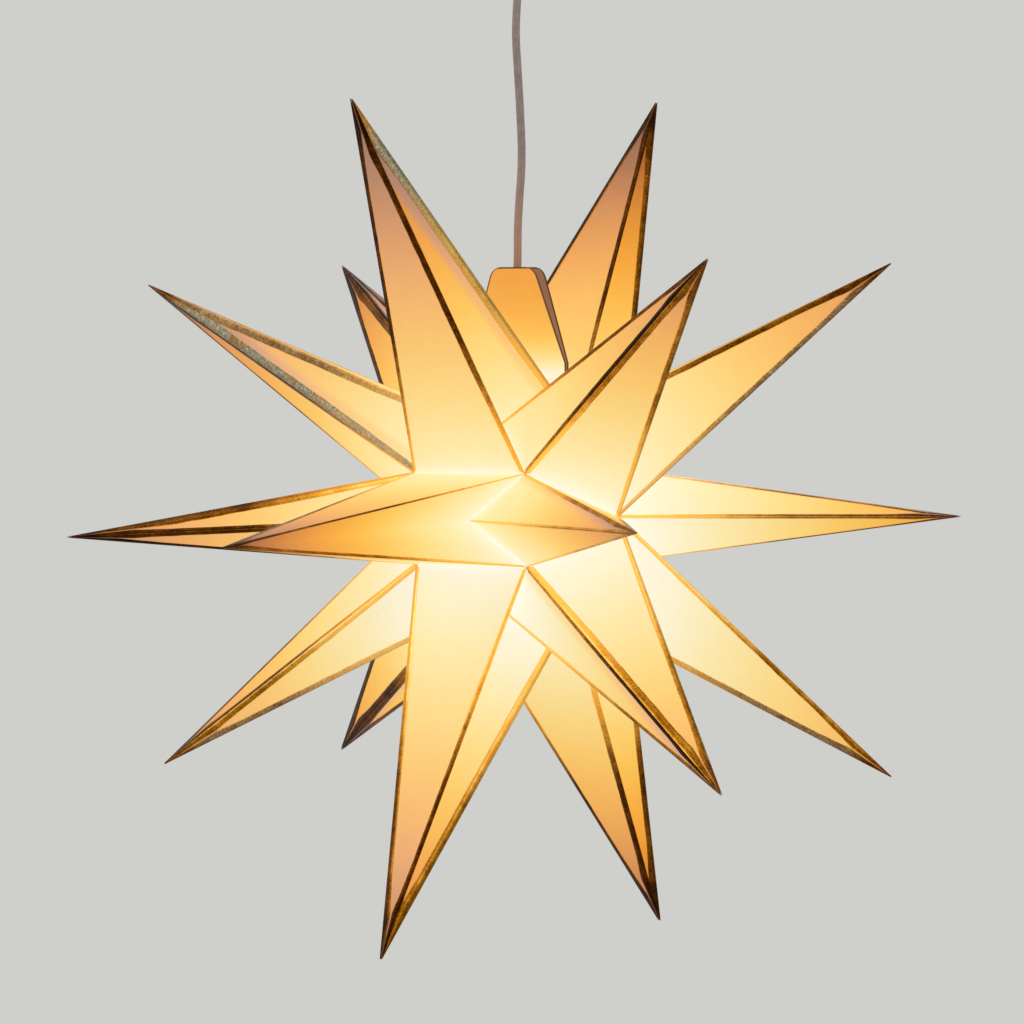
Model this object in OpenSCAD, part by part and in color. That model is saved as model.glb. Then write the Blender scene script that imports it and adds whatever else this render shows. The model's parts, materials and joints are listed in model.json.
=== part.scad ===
// Folded paper star lamp with eighteen rays, hung from a ceiling cup by its cord.
// The origin is on the ceiling, X runs along the star's spine and Z points up.
// Six rows of rays stand round the spine. Each row has one middle ray and two side rays.

/* [Star] */
// Reach of a middle ray, from the spine to its tip
ray_len = 290; // [250:5:340]
// Place of a side ray's tip along the spine, from the middle of the star
side_tip_along = 202; // [180:1:240]
// Distance of a side ray's tip from the spine
side_tip_out = 174; // [150:1:200]
// Half of the length of the long valley folds, which lie along the spine
valley_half = 40; // [36:1:48]
// Distance of the long valley folds from the spine
valley_out = 56; // [52:1:66]
// Place along the spine of the notch where a gusset fold ends
notch_along = 10.5; // [8:0.5:14]
// Distance of that notch from the spine
notch_out = 64; // [60:1:72]
// Distance of each pole, where six side rays meet, from the middle of the star
pole_along = 72; // [66:1:84]
// Thickness of the paper
paper_t = 0.5; // [0.4:0.1:0.8]
// Direction of each row of rays round the spine, in degrees: 0 is -Y and 90 is straight up
row_angles = [-2, 56, 121.5, 182, 240, 299.5];

/* [Flap] */
// Height of the flap panels above the fold that they rise from
flap_h = 91; // [70:1:110]
// Half width of a flap panel where it leaves the fold
flap_half_base = 35.5; // [32:0.5:36]
// Height above the fold at which the panel starts to narrow
flap_shoulder_h = 34; // [25:1:45]
// Half length of the flap's straight top edge
flap_half_top = 9.5; // [6:0.5:14]
// Radius of the flap's top corners
flap_corner_r = 9; // [5:0.5:12]
// Lean of the front panel away from the cord, in degrees
flap_lean_front = 2; // [0:0.5:5]
// Lean of the back panel away from the cord, in degrees
flap_lean_back = 3.5; // [0:0.5:6]
// Free space between the cord and the panels that bow round it
flap_clear = 0.3; // [0.2:0.1:1]

/* [Cord] */
// Diameter of the cord
cord_d = 4.8; // [4:0.1:5.6]
// Free space round the cord in a bore
cord_clear = 0.2; // [0.15:0.05:0.5]
// Height of the ceiling above the middle of the star
hang_drop = 375; // [370:1:380]

/* [Hanger] */
// Half length of the strip that carries the star
hanger_half = 33; // [28:1:35]
// Width of that strip
hanger_w = 12; // [10:0.5:16]
// Thickness of that strip
hanger_t = 1.6; // [1.2:0.1:2.5]
// Length of each raised end
hanger_pad = 11; // [8:0.5:14]
// Half length of the lowered middle
hanger_mid_half = 12; // [10:0.5:14]
// Depth of the lowered middle below the raised ends
hanger_dip = 9; // [8:0.5:11]
// Play between the raised ends and the fold that rests on them
hanger_play = 0.3; // [0.2:0.1:0.8]

/* [Threads and nuts] */
// Outer diameter of the threaded tubes that the cord runs through
thread_d = 10; // [9:0.5:11]
// Radial play of a threaded tube in a hole
thread_clear = 0.1; // [0.1:0.05:0.3]
// Size of a nut across its flats
nut_af = 14; // [13:0.5:16]
// Thickness of a nut
nut_h = 3; // [2:0.5:4]
// Height of the lower threaded tube above its nut
nipple_stand = 3.5; // [2:0.5:5]
// Length of the lower threaded tube inside the lamp holder's neck
nipple_grip = 7.5; // [6:0.5:7.5]

/* [Lamp holder] */
// Outer diameter of the lamp holder
holder_d = 28; // [26:0.5:30]
// Outer diameter of its neck
holder_neck_d = 15; // [14:0.5:17]
// Length of its neck
holder_neck_h = 5; // [4:0.5:6]
// Height of the flare from the neck to the full diameter
holder_flare_h = 2.5; // [2:0.5:3]
// Height of its cap, neck included
holder_cap_h = 18; // [17:0.5:20]
// Wall of its cap
holder_wall = 2; // [1.5:0.1:2.4]
// Length of its sleeve
holder_sleeve_h = 24; // [22:0.5:26]
// Height of the contact block
contact_block_h = 8; // [7:0.5:8.5]
// Height of the centre contact under that block
contact_h = 1; // [0.5:0.1:1.5]
// Inner diameter of the brass screw shell
screw_shell_bore = 14.6; // [14.4:0.1:15]
// Wall of the screw shell
screw_shell_t = 1; // [0.8:0.1:1.2]
// Length of the screw shell
screw_shell_h = 18; // [14:0.5:20]
// Play between the screw shell and the sleeve
shell_clear = 0.2; // [0.1:0.05:0.4]

/* [Bulb] */
// Diameter of the bulb's screw cap
bulb_cap_d = 14; // [13.6:0.1:14.2]
// Length of the bulb, from its contact to the end of the glass
bulb_len = 72; // [66:1:76]
// Diameter of the glass globe
globe_d = 42; // [38:1:45]
// Height of the bulb's centre contact
bulb_contact_h = 1.5; // [1:0.1:2]
// Length of the screw cap below the contact
bulb_cap_h = 21.5; // [20:0.5:24]
// Diameter of the glass neck where it leaves the screw cap
globe_neck_d = 15; // [14.5:0.5:16]

/* [Ceiling cup] */
// Outer diameter of the ceiling cup
cup_d = 70; // [64:1:80]
// Depth of the ceiling cup below the ceiling
cup_h = 32; // [30:1:36]
// Wall of the ceiling cup
cup_wall = 1.8; // [1.5:0.1:2.5]
// Radius of the cup's lower edge
cup_edge_r = 8; // [5:0.5:10]
// Gap between the cup's rim and the ceiling
cup_ceiling_gap = 0.5; // [0.3:0.1:1.5]
// Diameter of the flange of the cord grip
grip_flange_d = 16; // [15:0.5:20]
// Thickness of that flange
grip_flange_h = 2.5; // [2:0.5:4]
// Length of the tapered part of the cord grip
grip_taper_h = 22; // [20:1:26]
// Diameter at the top of that taper
grip_top_d = 12; // [11:0.5:14]
// Diameter at the bottom of that taper
grip_tip_d = 7.6; // [7.4:0.2:9]
// Height of the cord grip's thread above its nut
grip_thread_stand = 1.5; // [1:0.5:3]

/* [Ceiling strap] */
// Width of the strap that is screwed to the ceiling
strap_w = 14; // [12:0.5:18]
// Thickness of the strap
strap_t = 1.5; // [1.2:0.1:2]
// Length of its two legs
strap_leg_h = 14; // [12:1:16]
// Play between its legs and the cup
strap_clear = 0.3; // [0.2:0.1:0.8]
// Distance between its two screw holes
strap_hole_pitch = 44; // [40:1:48]
// Diameter of its screw holes
strap_hole_d = 4.5; // [4:0.1:5.5]
// Length of the terminal block
terminal_len = 20; // [16:1:24]
// Width of the terminal block
terminal_w = 14; // [12:1:16]
// Height of the terminal block
terminal_h = 12; // [10:0.5:14]
// Diameter of the cup screws' shanks
cup_screw_d = 3; // [2.5:0.1:3.5]
// Radial play of the cup screws in their holes
cup_screw_clear = 0.1; // [0.1:0.05:0.3]
// Diameter of the cup screws' heads
cup_screw_head_d = 6; // [5:0.5:8]
// Height of the cup screws' heads
cup_screw_head_h = 2.4; // [2:0.1:4]

/* [Hidden] */
OPENING = 1;
ROWS = len(row_angles);
RIGHT = 1;
LEFT = -1;
CLOSED = [for (k = [0:ROWS - 1]) if (k != OPENING) k];

// The inner side of the paper is the outer side with its corners drawn inwards.
// Each inset is the one that leaves about one paper thickness under every face.
tip_inset = 10 * paper_t;
side_inset = 9 * paper_t;
valley_inset_along = 2.4 * paper_t;
valley_inset_out = 2.1 * paper_t;
notch_inset_along = 1.3 * paper_t;
notch_inset_out = 2.4 * paper_t;
pole_inset = 2.7 * paper_t;
side_dir = [side_tip_along - valley_half, side_tip_out - valley_out * cos(30)];
side_unit = side_dir / norm(side_dir);

// The direction of a long valley fold is half way between its rows.
// The fold of the opening hangs straight above the spine.
function row_after(k) = (k + 1) % ROWS;
function row_before(k) = (k + ROWS - 1) % ROWS;
function turn_after(k) = k == ROWS - 1 ? 360 : 0;
function valley_angle(k) =
    k == OPENING ? 90 : (row_angles[k] + row_angles[row_after(k)] + turn_after(k)) / 2;

// A point at a place along the spine, a distance from it and a direction round it
function at(along, out, angle) = [along, -out * cos(angle), out * sin(angle) - hang_drop];

// Corners of the star: deep is 0 on the outside of the paper and 1 on the inside
function middle_tip(k, deep) = at(0, ray_len - deep * tip_inset, row_angles[k]);
function side_tip(k, side, deep) =
    at(side * (side_tip_along - deep * side_inset * side_unit[0]),
       side_tip_out - deep * side_inset * side_unit[1],
       row_angles[k]);
function valley(k, side, deep) =
    at(side * (valley_half - deep * valley_inset_along),
       valley_out - deep * valley_inset_out,
       valley_angle(k));
function notch(k, side, deep) =
    at(side * (notch_along - deep * notch_inset_along),
       notch_out - deep * notch_inset_out,
       row_angles[k]);
function pole(side, deep) = at(side * (pole_along - deep * pole_inset), 0, 0);

// A sheet of paper with thickness: outer and inner corners, triangles between them and
// a rim that runs round the sheet. Along the rim, the wall between two corners is split
// from the outer corner of higher rank, so that the sheets on both sides of a ridge
// have the same wall.
TIP = 2;
FOLD = 1;
END = 0;
function flipped(face) = [face[2], face[1], face[0]];
function rim_wall(a, b, rank, n) =
    rank[a] > rank[b]
        ? [[b, a, b + n], [a, a + n, b + n]]
        : [[b, a, a + n], [b, a + n, b + n]];
function rim_walls(rim, rank, n) = [
    for (i = [0:len(rim) - 1])
        each rim_wall(rim[i], rim[(i + 1) % len(rim)], rank, n)
];
function shift(face, n) = [face[0] + n, face[1] + n, face[2] + n];
function sheet_faces(faces, rim, rank, n) =
    concat(faces, [for (f = faces) flipped(shift(f, n))], rim_walls(rim, rank, n));

module sheet(outer, inner, rank, faces, rim, side) {
    all = sheet_faces(faces, rim, rank, len(outer));
    polyhedron(concat(outer, inner), side == RIGHT ? all : [for (f = all) flipped(f)]);
}

// Sheet between two middle rays, folded along its long valley
module spine_sheet(k) {
    function corners(deep) = [
        middle_tip(k, deep),
        valley(k, RIGHT, deep),
        middle_tip(row_after(k), deep),
        valley(k, LEFT, deep)
    ];
    color("moccasin")
        sheet(corners(0), corners(1), [TIP, FOLD, TIP, FOLD],
              [[0, 1, 3], [2, 3, 1]], [0, 1, 2, 3], RIGHT);
}

// Sheet between two side rays, folded from the long valley's end to the pole
module pole_sheet(k, side) {
    function corners(deep) = [
        side_tip(k, side, deep),
        pole(side, deep),
        side_tip(row_after(k), side, deep),
        valley(k, side, deep)
    ];
    color("moccasin")
        sheet(corners(0), corners(1), [TIP, END, TIP, FOLD],
              [[0, 1, 3], [2, 3, 1]], [0, 1, 2, 3], side);
}

// Sheet that makes the gusseted flank of a middle ray and the near half of a side ray
module wing_sheet(k, side) {
    function corners(deep) = [
        middle_tip(k, deep),
        valley(row_before(k), side, deep),
        side_tip(k, side, deep),
        valley(k, side, deep),
        notch(k, side, deep)
    ];
    color("navajowhite")
        sheet(corners(0), corners(1), [TIP, FOLD, TIP, FOLD, END],
              [[0, 1, 4], [1, 2, 4], [2, 3, 4], [3, 0, 4]], [0, 1, 2, 3], side);
}

// Half of a pole sheet, on one side of the opening: its edge meets the other half
module end_pole_sheet(k, side) {
    function corners(deep) = [
        side_tip(k, side, deep),
        pole(side, deep),
        valley(OPENING, side, deep)
    ];
    turn = k == OPENING ? side : -side;
    color("moccasin")
        sheet(corners(0), corners(1), [TIP, END, FOLD], [[0, 1, 2]], [0, 1, 2], turn);
}

// End sheet: a triangle of a middle ray that folds back up into a rounded flap panel.
// The fold and the panel bow away from the middle plane, round the cord.
FLAP_STEPS = 8;
CORNER_STEPS = 4;
flap_bow = cord_d / 2 + flap_clear + paper_t;
function bow_at(along) = flap_bow * (1 - pow(along / valley_half, 2));

// Outline of the panel from the fold to its top edge, as half width and height
corner_angles = [for (i = [0:CORNER_STEPS]) 20 + 70 * i / CORNER_STEPS];
flap_outline = concat(
    [[flap_half_base, 0], [flap_half_base, flap_shoulder_h / 2], [flap_half_base, flap_shoulder_h]],
    [for (a = corner_angles)
        [flap_half_top + flap_corner_r * cos(a), flap_h - flap_corner_r + flap_corner_r * sin(a)]]
);

function panel_point(way, lean, half, height, step, deep) =
    let (along = half * (1 - 2 * step / FLAP_STEPS))
    let (bow = bow_at(along) + height * tan(lean) - deep * paper_t)
    let (drop = height == 0 ? deep * valley_inset_out : 0)
    [along, way * bow, valley_out + height - drop - hang_drop];

module end_sheet(k, way, lean) {
    width = FLAP_STEPS + 1;
    last = len(flap_outline) - 1;
    first = 3;
    function corners(deep) = concat(
        [middle_tip(k, deep), valley(OPENING, RIGHT, deep), valley(OPENING, LEFT, deep)],
        [for (row = flap_outline)
            for (i = [0:FLAP_STEPS]) panel_point(way, lean, row[0], row[1], i, deep)]
    );
    function spot(row, i) = first + row * width + i;
    fan = concat(
        [[0, 1, spot(0, 0)]],
        [for (i = [0:FLAP_STEPS - 1]) [0, spot(0, i), spot(0, i + 1)]],
        [[0, spot(0, FLAP_STEPS), 2]]
    );
    panel = [
        for (row = [0:last - 1])
            for (i = [0:FLAP_STEPS - 1])
                each [
                    [spot(row, i), spot(row + 1, i), spot(row, i + 1)],
                    [spot(row + 1, i), spot(row + 1, i + 1), spot(row, i + 1)]
                ]
    ];
    rim = concat(
        [0, 1],
        [for (row = [0:last]) spot(row, 0)],
        [for (i = [1:FLAP_STEPS]) spot(last, i)],
        [for (row = [1:last]) spot(last - row, FLAP_STEPS)],
        [2]
    );
    rank = concat([TIP, FOLD, FOLD], [for (i = [0:width * (last + 1) - 1]) END]);
    color("moccasin")
        sheet(corners(0), corners(1), rank, concat(fan, panel), rim, way == -1 ? RIGHT : LEFT);
}

// Heights of the lamp's pieces, each from the one that carries it
fold_under = valley_out - valley_inset_out - hang_drop;
hanger_top = fold_under - hanger_play;
hanger_seat = hanger_top - hanger_dip;
holder_top = hanger_seat - hanger_t;
holder_joint = holder_top - holder_cap_h;
nipple_top = hanger_seat + nut_h + nipple_stand;
nipple_end = holder_top - nipple_grip;
contact_block_top = holder_joint + contact_block_h;
cord_bore = cord_d + 2 * cord_clear;
shell_outer = screw_shell_bore + 2 * screw_shell_t;
ROUND = 48;

module tube(outer_d, inner_d, low, high) {
    translate([0, 0, low])
        difference() {
            cylinder(d = outer_d, h = high - low, $fn = ROUND);
            translate([0, 0, -1])
                cylinder(d = inner_d, h = high - low + 2, $fn = ROUND);
        }
}

module nut(low) {
    translate([0, 0, low])
        difference() {
            cylinder(d = nut_af / cos(30), h = nut_h, $fn = 6);
            translate([0, 0, -1])
                cylinder(d = thread_d + 2 * thread_clear, h = nut_h + 2, $fn = ROUND);
        }
}

// Bent strip under the fold of the opening: the star hangs on its raised ends
module hanger() {
    slope_end = hanger_half - hanger_pad;
    line = [
        [-hanger_half, hanger_top],
        [-slope_end, hanger_top],
        [-hanger_mid_half, hanger_seat],
        [hanger_mid_half, hanger_seat],
        [slope_end, hanger_top],
        [hanger_half, hanger_top]
    ];
    under = [for (i = [len(line) - 1:-1:0]) line[i] - [0, hanger_t]];
    color("silver")
        difference() {
            translate([0, hanger_w / 2, 0])
                rotate([90, 0, 0])
                    linear_extrude(hanger_w)
                        polygon(concat(line, under));
            translate([0, 0, holder_top - 1])
                cylinder(d = thread_d + 2 * thread_clear, h = hanger_t + 2, $fn = ROUND);
        }
}

module hanger_nut() {
    color("silver") nut(hanger_seat);
}

module holder_nipple() {
    color("gainsboro") tube(thread_d, cord_bore, nipple_end, nipple_top);
}

module holder_cap() {
    outer_r = holder_d / 2;
    neck_r = holder_neck_d / 2;
    bore_r = thread_d / 2 + thread_clear;
    neck_end = holder_top - holder_neck_h;
    shoulder = neck_end - holder_flare_h;
    roof = contact_block_top;
    color("whitesmoke")
        rotate_extrude($fn = ROUND)
            polygon([
                [bore_r, holder_top],
                [neck_r, holder_top],
                [neck_r, neck_end],
                [outer_r, shoulder],
                [outer_r, holder_joint],
                [outer_r - holder_wall, holder_joint],
                [outer_r - holder_wall, roof],
                [bore_r, roof]
            ]);
}

module contact_block() {
    block_r = holder_d / 2 - holder_wall - shell_clear;
    color("ivory")
        union() {
            translate([0, 0, holder_joint])
                cylinder(r = block_r, h = contact_block_h, $fn = ROUND);
            translate([0, 0, holder_joint - contact_h])
                cylinder(r = bulb_cap_d / 4, h = contact_h, $fn = ROUND);
        }
}

module holder_sleeve() {
    color("whitesmoke")
        tube(holder_d, shell_outer + 2 * shell_clear, holder_joint - holder_sleeve_h, holder_joint);
}

module screw_shell() {
    color("goldenrod")
        tube(shell_outer, screw_shell_bore, holder_joint - screw_shell_h, holder_joint);
}

// Sealed bulb: contact, screw cap and glass globe as one closed solid
module bulb() {
    top = holder_joint - contact_h;
    cap_top = top - bulb_contact_h;
    cap_end = cap_top - bulb_cap_h;
    globe_r = globe_d / 2;
    centre = top - bulb_len + globe_r;
    globe = [for (a = [45:-7.5:-90]) [globe_r * cos(a), centre + globe_r * sin(a)]];
    color("lightyellow")
        rotate_extrude($fn = ROUND)
            polygon(concat(
                [
                    [0, top],
                    [bulb_cap_d / 4, top],
                    [bulb_cap_d / 2 - 1, cap_top],
                    [bulb_cap_d / 2, cap_top - 1],
                    [bulb_cap_d / 2, cap_end],
                    [globe_neck_d / 2, cap_end]
                ],
                globe
            ));
}

// Heights of the pieces at the ceiling
cup_bottom = -cup_h;
cup_floor = cup_bottom + cup_wall;
cup_inner_r = cup_d / 2 - cup_wall;
grip_end = cup_bottom - grip_flange_h - grip_taper_h;
strap_half = sqrt(pow(cup_inner_r - strap_clear, 2) - pow(strap_w / 2, 2));
terminal_end = -strap_t - terminal_h;
cup_screw_z = -strap_t - strap_leg_h / 2;

module ceiling_strap() {
    color("silver")
        difference() {
            union() {
                translate([-strap_half, -strap_w / 2, -strap_t])
                    cube([2 * strap_half, strap_w, strap_t]);
                for (side = [LEFT, RIGHT])
                    translate([side * (strap_half - strap_t / 2), 0, -strap_t - strap_leg_h / 2])
                        cube([strap_t, strap_w, strap_leg_h], center = true);
            }
            for (side = [LEFT, RIGHT]) {
                translate([side * strap_hole_pitch / 2, 0, -strap_t - 1])
                    cylinder(d = strap_hole_d, h = strap_t + 2, $fn = ROUND);
                translate([side * strap_half, 0, cup_screw_z])
                    rotate([0, 90, 0])
                        cylinder(d = cup_screw_d + 2 * cup_screw_clear, h = 4 * strap_t,
                                 center = true, $fn = 24);
            }
        }
}

module ceiling_cup() {
    outer_r = cup_d / 2;
    inner_edge_r = cup_edge_r - cup_wall;
    bore_r = thread_d / 2 + thread_clear;
    outside = [for (a = [0:-15:-90])
        [outer_r - cup_edge_r + cup_edge_r * cos(a), cup_bottom + cup_edge_r + cup_edge_r * sin(a)]];
    inside = [for (a = [-90:15:0])
        [outer_r - cup_edge_r + inner_edge_r * cos(a), cup_bottom + cup_edge_r + inner_edge_r * sin(a)]];
    color("white")
        difference() {
            rotate_extrude($fn = 72)
                polygon(concat(
                    [[cup_inner_r, -cup_ceiling_gap], [outer_r, -cup_ceiling_gap]],
                    outside,
                    [[bore_r, cup_bottom], [bore_r, cup_floor]],
                    inside
                ));
            for (side = [LEFT, RIGHT])
                translate([side * (outer_r - cup_wall / 2), 0, cup_screw_z])
                    rotate([0, 90, 0])
                        cylinder(d = cup_screw_d + 2 * cup_screw_clear, h = 4 * cup_wall,
                                 center = true, $fn = 24);
        }
}

module cup_screws() {
    reach = cup_d / 2 - strap_half + strap_t;
    color("silver")
        for (side = [0, 180])
            rotate([0, 0, side])
                translate([cup_d / 2, 0, cup_screw_z])
                    rotate([0, 90, 0])
                        union() {
                            cylinder(d = cup_screw_head_d, h = cup_screw_head_h, $fn = 24);
                            translate([0, 0, -reach])
                                cylinder(d = cup_screw_d, h = reach, $fn = 24);
                        }
}

module terminal_block() {
    color("ivory")
        translate([-terminal_len / 2, -terminal_w / 2, terminal_end])
            cube([terminal_len, terminal_w, terminal_h]);
}

module cup_grip() {
    thread_top = cup_floor + nut_h + grip_thread_stand;
    flange_end = cup_bottom - grip_flange_h;
    color("white")
        rotate_extrude($fn = ROUND)
            polygon([
                [cord_bore / 2, thread_top],
                [thread_d / 2, thread_top],
                [thread_d / 2, cup_bottom],
                [grip_flange_d / 2, cup_bottom],
                [grip_flange_d / 2, flange_end],
                [grip_top_d / 2, flange_end],
                [grip_tip_d / 2, grip_end],
                [cord_bore / 2, grip_end]
            ]);
}

module cup_nut() {
    color("silver") nut(cup_floor);
}

// Route of the cord's middle line, from the contact block up to the terminal block.
// The cord hangs with the slight waves that its packing left in it.
CORD_SIDES = 10;
cord_route = concat(
    [[0, 0, contact_block_top]],
    [
        [0, 0, -330],
        [0, 0, -314],
        [-0.3, -0.2, -300],
        [-0.8, -0.6, -285],
        [-0.8, -0.5, -268],
        [-0.6, -0.4, -250],
        [-0.9, -0.6, -236],
        [-0.6, -0.4, -222],
        [0.3, 0.2, -205],
        [0.9, 0.7, -185],
        [1.2, 0.9, -160],
        [0.9, 0.6, -135],
        [0.2, 0.1, -110],
        [-0.4, -0.3, -90],
        [-0.5, -0.3, -74]
    ],
    [[0, 0, grip_end], [0, 0, terminal_end]]
);

// Rings of points round the route, each square to the route where it stands
function unit(v) = v / norm(v);
function route_way(i) =
    i == 0 ? [0, 0, 1]
    : i >= len(cord_route) - 2 ? [0, 0, 1]
    : unit(cord_route[i + 1] - cord_route[i - 1]);
function ring(i) =
    let (way = route_way(i))
    let (across = unit(cross([0, 1, 0], way)))
    let (other = cross(way, across))
    [for (s = [0:CORD_SIDES - 1])
        let (a = 360 * s / CORD_SIDES)
        cord_route[i] + cord_d / 2 * (cos(a) * across + sin(a) * other)];

module cord() {
    n = CORD_SIDES;
    last = len(cord_route) - 1;
    points = [for (i = [0:last]) each ring(i)];
    walls = [
        for (i = [0:last - 1])
            for (s = [0:n - 1])
                let (t = (s + 1) % n)
                each [
                    [i * n + s, (i + 1) * n + s, (i + 1) * n + t],
                    [i * n + s, (i + 1) * n + t, i * n + t]
                ]
    ];
    bottom = [[for (s = [0:n - 1]) s]];
    top = [[for (s = [n - 1:-1:0]) last * n + s]];
    color("rosybrown") polyhedron(points, concat(walls, bottom, top));
}

SIDES = [["right", RIGHT], ["left", LEFT]];
ENDS = [["front", OPENING, -1, flap_lean_front], ["back", OPENING + 1, 1, flap_lean_back]];

function spine_name(k) = str("spine_sheet_", k + 1);
function pole_name(k, side) = str("pole_sheet_", side[0], "_", k + 1);
function wing_name(k, side) = str("wing_sheet_", side[0], "_", k + 1);
function end_name(end) = str("end_sheet_", end[0]);
function end_pole_name(end, side) = str("end_pole_sheet_", end[0], "_", side[0]);

for (k = CLOSED)
    spine_sheet(k);
for (side = SIDES, k = CLOSED)
    pole_sheet(k, side[1]);
for (side = SIDES, k = [0:ROWS - 1])
    wing_sheet(k, side[1]);
for (end = ENDS)
    end_sheet(end[1], end[2], end[3]);
for (end = ENDS, side = SIDES)
    end_pole_sheet(end[1], side[1]);
hanger();
hanger_nut();
holder_nipple();
holder_cap();
contact_block();
holder_sleeve();
screw_shell();
bulb();
cord();
ceiling_strap();
ceiling_cup();
cup_screws();
terminal_block();
cup_grip();
cup_nut();
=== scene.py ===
# Looks of the folded paper star lamp: paper sheets, gilt edges, cord, lamp and ceiling fitting
import json
import math

import bmesh
import bpy
import numpy as np
from bpy.props import FloatProperty, FloatVectorProperty, IntProperty, PointerProperty
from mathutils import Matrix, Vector

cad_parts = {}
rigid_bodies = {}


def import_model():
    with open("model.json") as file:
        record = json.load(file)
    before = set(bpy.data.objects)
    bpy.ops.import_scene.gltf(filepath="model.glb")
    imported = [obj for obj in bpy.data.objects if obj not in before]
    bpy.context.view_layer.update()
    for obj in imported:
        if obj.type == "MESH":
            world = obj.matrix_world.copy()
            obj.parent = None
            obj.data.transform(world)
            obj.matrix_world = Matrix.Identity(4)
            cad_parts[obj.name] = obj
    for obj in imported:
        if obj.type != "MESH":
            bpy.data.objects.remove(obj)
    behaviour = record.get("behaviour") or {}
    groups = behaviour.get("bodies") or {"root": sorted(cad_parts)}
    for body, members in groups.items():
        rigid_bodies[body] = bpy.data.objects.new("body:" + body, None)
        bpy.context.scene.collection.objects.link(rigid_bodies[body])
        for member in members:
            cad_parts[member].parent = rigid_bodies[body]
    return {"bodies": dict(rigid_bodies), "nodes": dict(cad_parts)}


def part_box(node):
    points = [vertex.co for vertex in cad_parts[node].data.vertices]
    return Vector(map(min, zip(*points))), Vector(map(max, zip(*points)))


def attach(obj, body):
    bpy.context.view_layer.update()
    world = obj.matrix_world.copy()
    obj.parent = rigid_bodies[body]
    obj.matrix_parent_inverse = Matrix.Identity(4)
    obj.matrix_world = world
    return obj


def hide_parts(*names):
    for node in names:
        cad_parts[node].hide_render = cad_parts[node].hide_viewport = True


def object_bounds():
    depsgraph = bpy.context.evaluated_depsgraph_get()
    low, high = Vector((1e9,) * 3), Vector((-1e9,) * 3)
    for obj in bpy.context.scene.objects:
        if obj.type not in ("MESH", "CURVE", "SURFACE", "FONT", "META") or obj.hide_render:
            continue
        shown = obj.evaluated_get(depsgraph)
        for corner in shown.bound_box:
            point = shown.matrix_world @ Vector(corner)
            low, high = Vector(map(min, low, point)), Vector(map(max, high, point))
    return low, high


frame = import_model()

cad_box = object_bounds()

bl_info = {
    "name": "Folded paper star lamp",
    "version": (1, 0, 0),
    "blender": (4, 5, 0),
    "location": "3D View > Sidebar > Paper star",
    "description": "Paper star with eighteen gilt-edged rays, hung from a ceiling cup by its cord",
    "category": "Add Mesh",
}

MM = 0.001
BODY = "root" if "root" in frame["bodies"] else next(iter(frame["bodies"]))

# Rows of rays stand round the spine. Each has one middle ray and two side rays.
ROWS = 6
OPENING = 1
CLOSED = [k for k in range(ROWS) if k != OPENING]
SIDES = {"right": 1, "left": -1}
FACES = ("a", "b")
TOUCH = 0.02 * MM
NO_EDGE = 999.0


def linear(code):
    """A colour written as sRGB hex, as linear red, green and blue."""
    parts = [int(code[i:i + 2], 16) / 255 for i in (1, 3, 5)]
    return tuple(c / 12.92 if c <= 0.04045 else ((c + 0.055) / 1.055) ** 2.4 for c in parts)


def add_node(tree, kind, inputs=None, stops=None, **settings):
    """Adds a node with its settings. A value given as an input is set, and a node or one of its
    outputs is linked. A node stands for its first output in use."""
    node = tree.nodes.new(kind)
    for name, value in settings.items():
        setattr(node, name, value)
    for key, value in (inputs or {}).items():
        if isinstance(value, bpy.types.Node):
            value = next(output for output in value.outputs if output.enabled)
        if isinstance(value, bpy.types.NodeSocket):
            tree.links.new(value, node.inputs[key])
        else:
            node.inputs[key].default_value = value
    for i, (place, color) in enumerate(stops or []):
        row = node.color_ramp.elements
        stop = row[i] if i < 2 else row.new(place)
        stop.position = place
        stop.color = (*linear(color), 1)
    return node


# Corners of the star, read from the CAD sheets

def wing_name(side, k):
    return f"wing_sheet_{side}_{k % ROWS + 1}"


def pole_name(side, k):
    return f"pole_sheet_{side}_{k % ROWS + 1}"


def corners(node):
    """Corners of a CAD node, without doubles."""
    points = [v.co for v in frame["nodes"][node].data.vertices]
    return np.unique(np.array(points, float).round(7), axis=0)


def shared(first, second, centre):
    """Corners that two CAD nodes share, from the outermost inwards."""
    here = corners(first)
    there = corners(second)
    gap = np.linalg.norm(here[:, None] - there[None], axis=2).min(axis=1)
    return outermost(here[gap < TOUCH], centre)


def outermost(points, centre):
    return points[np.argsort(-np.linalg.norm(points - centre, axis=1))][:2]


class Star:
    """Each corner of the star as a pair of points: on the paper's outer side and inner side."""

    def __init__(self):
        pole = shared(pole_name("right", 0), pole_name("right", 3), np.zeros(3))
        self.centre = np.array([0, 0, pole[0][2]])
        self.tip = {}
        self.side_tip = {}
        self.valley = {}
        self.notch = {}
        self.pole = {}
        for k in range(ROWS):
            self.tip[k] = shared(wing_name("right", k), wing_name("left", k), self.centre)
        for side in SIDES:
            self.pole[side] = shared(pole_name(side, 0), pole_name(side, 3), np.zeros(3))
            for k in range(ROWS):
                neighbour = k if k in CLOSED else k - 1
                wing = wing_name(side, k)
                self.side_tip[k, side] = shared(wing, pole_name(side, neighbour), self.centre)
                self.valley[k, side] = shared(wing, wing_name(side, k + 1), self.centre)
                beside = corners(wing)
                beside = beside[np.abs(beside[:, 0]) > TOUCH]
                near = beside[np.argsort(np.abs(beside[:, 0]))][:2]
                self.notch[k, side] = outermost(near, self.centre)


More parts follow.
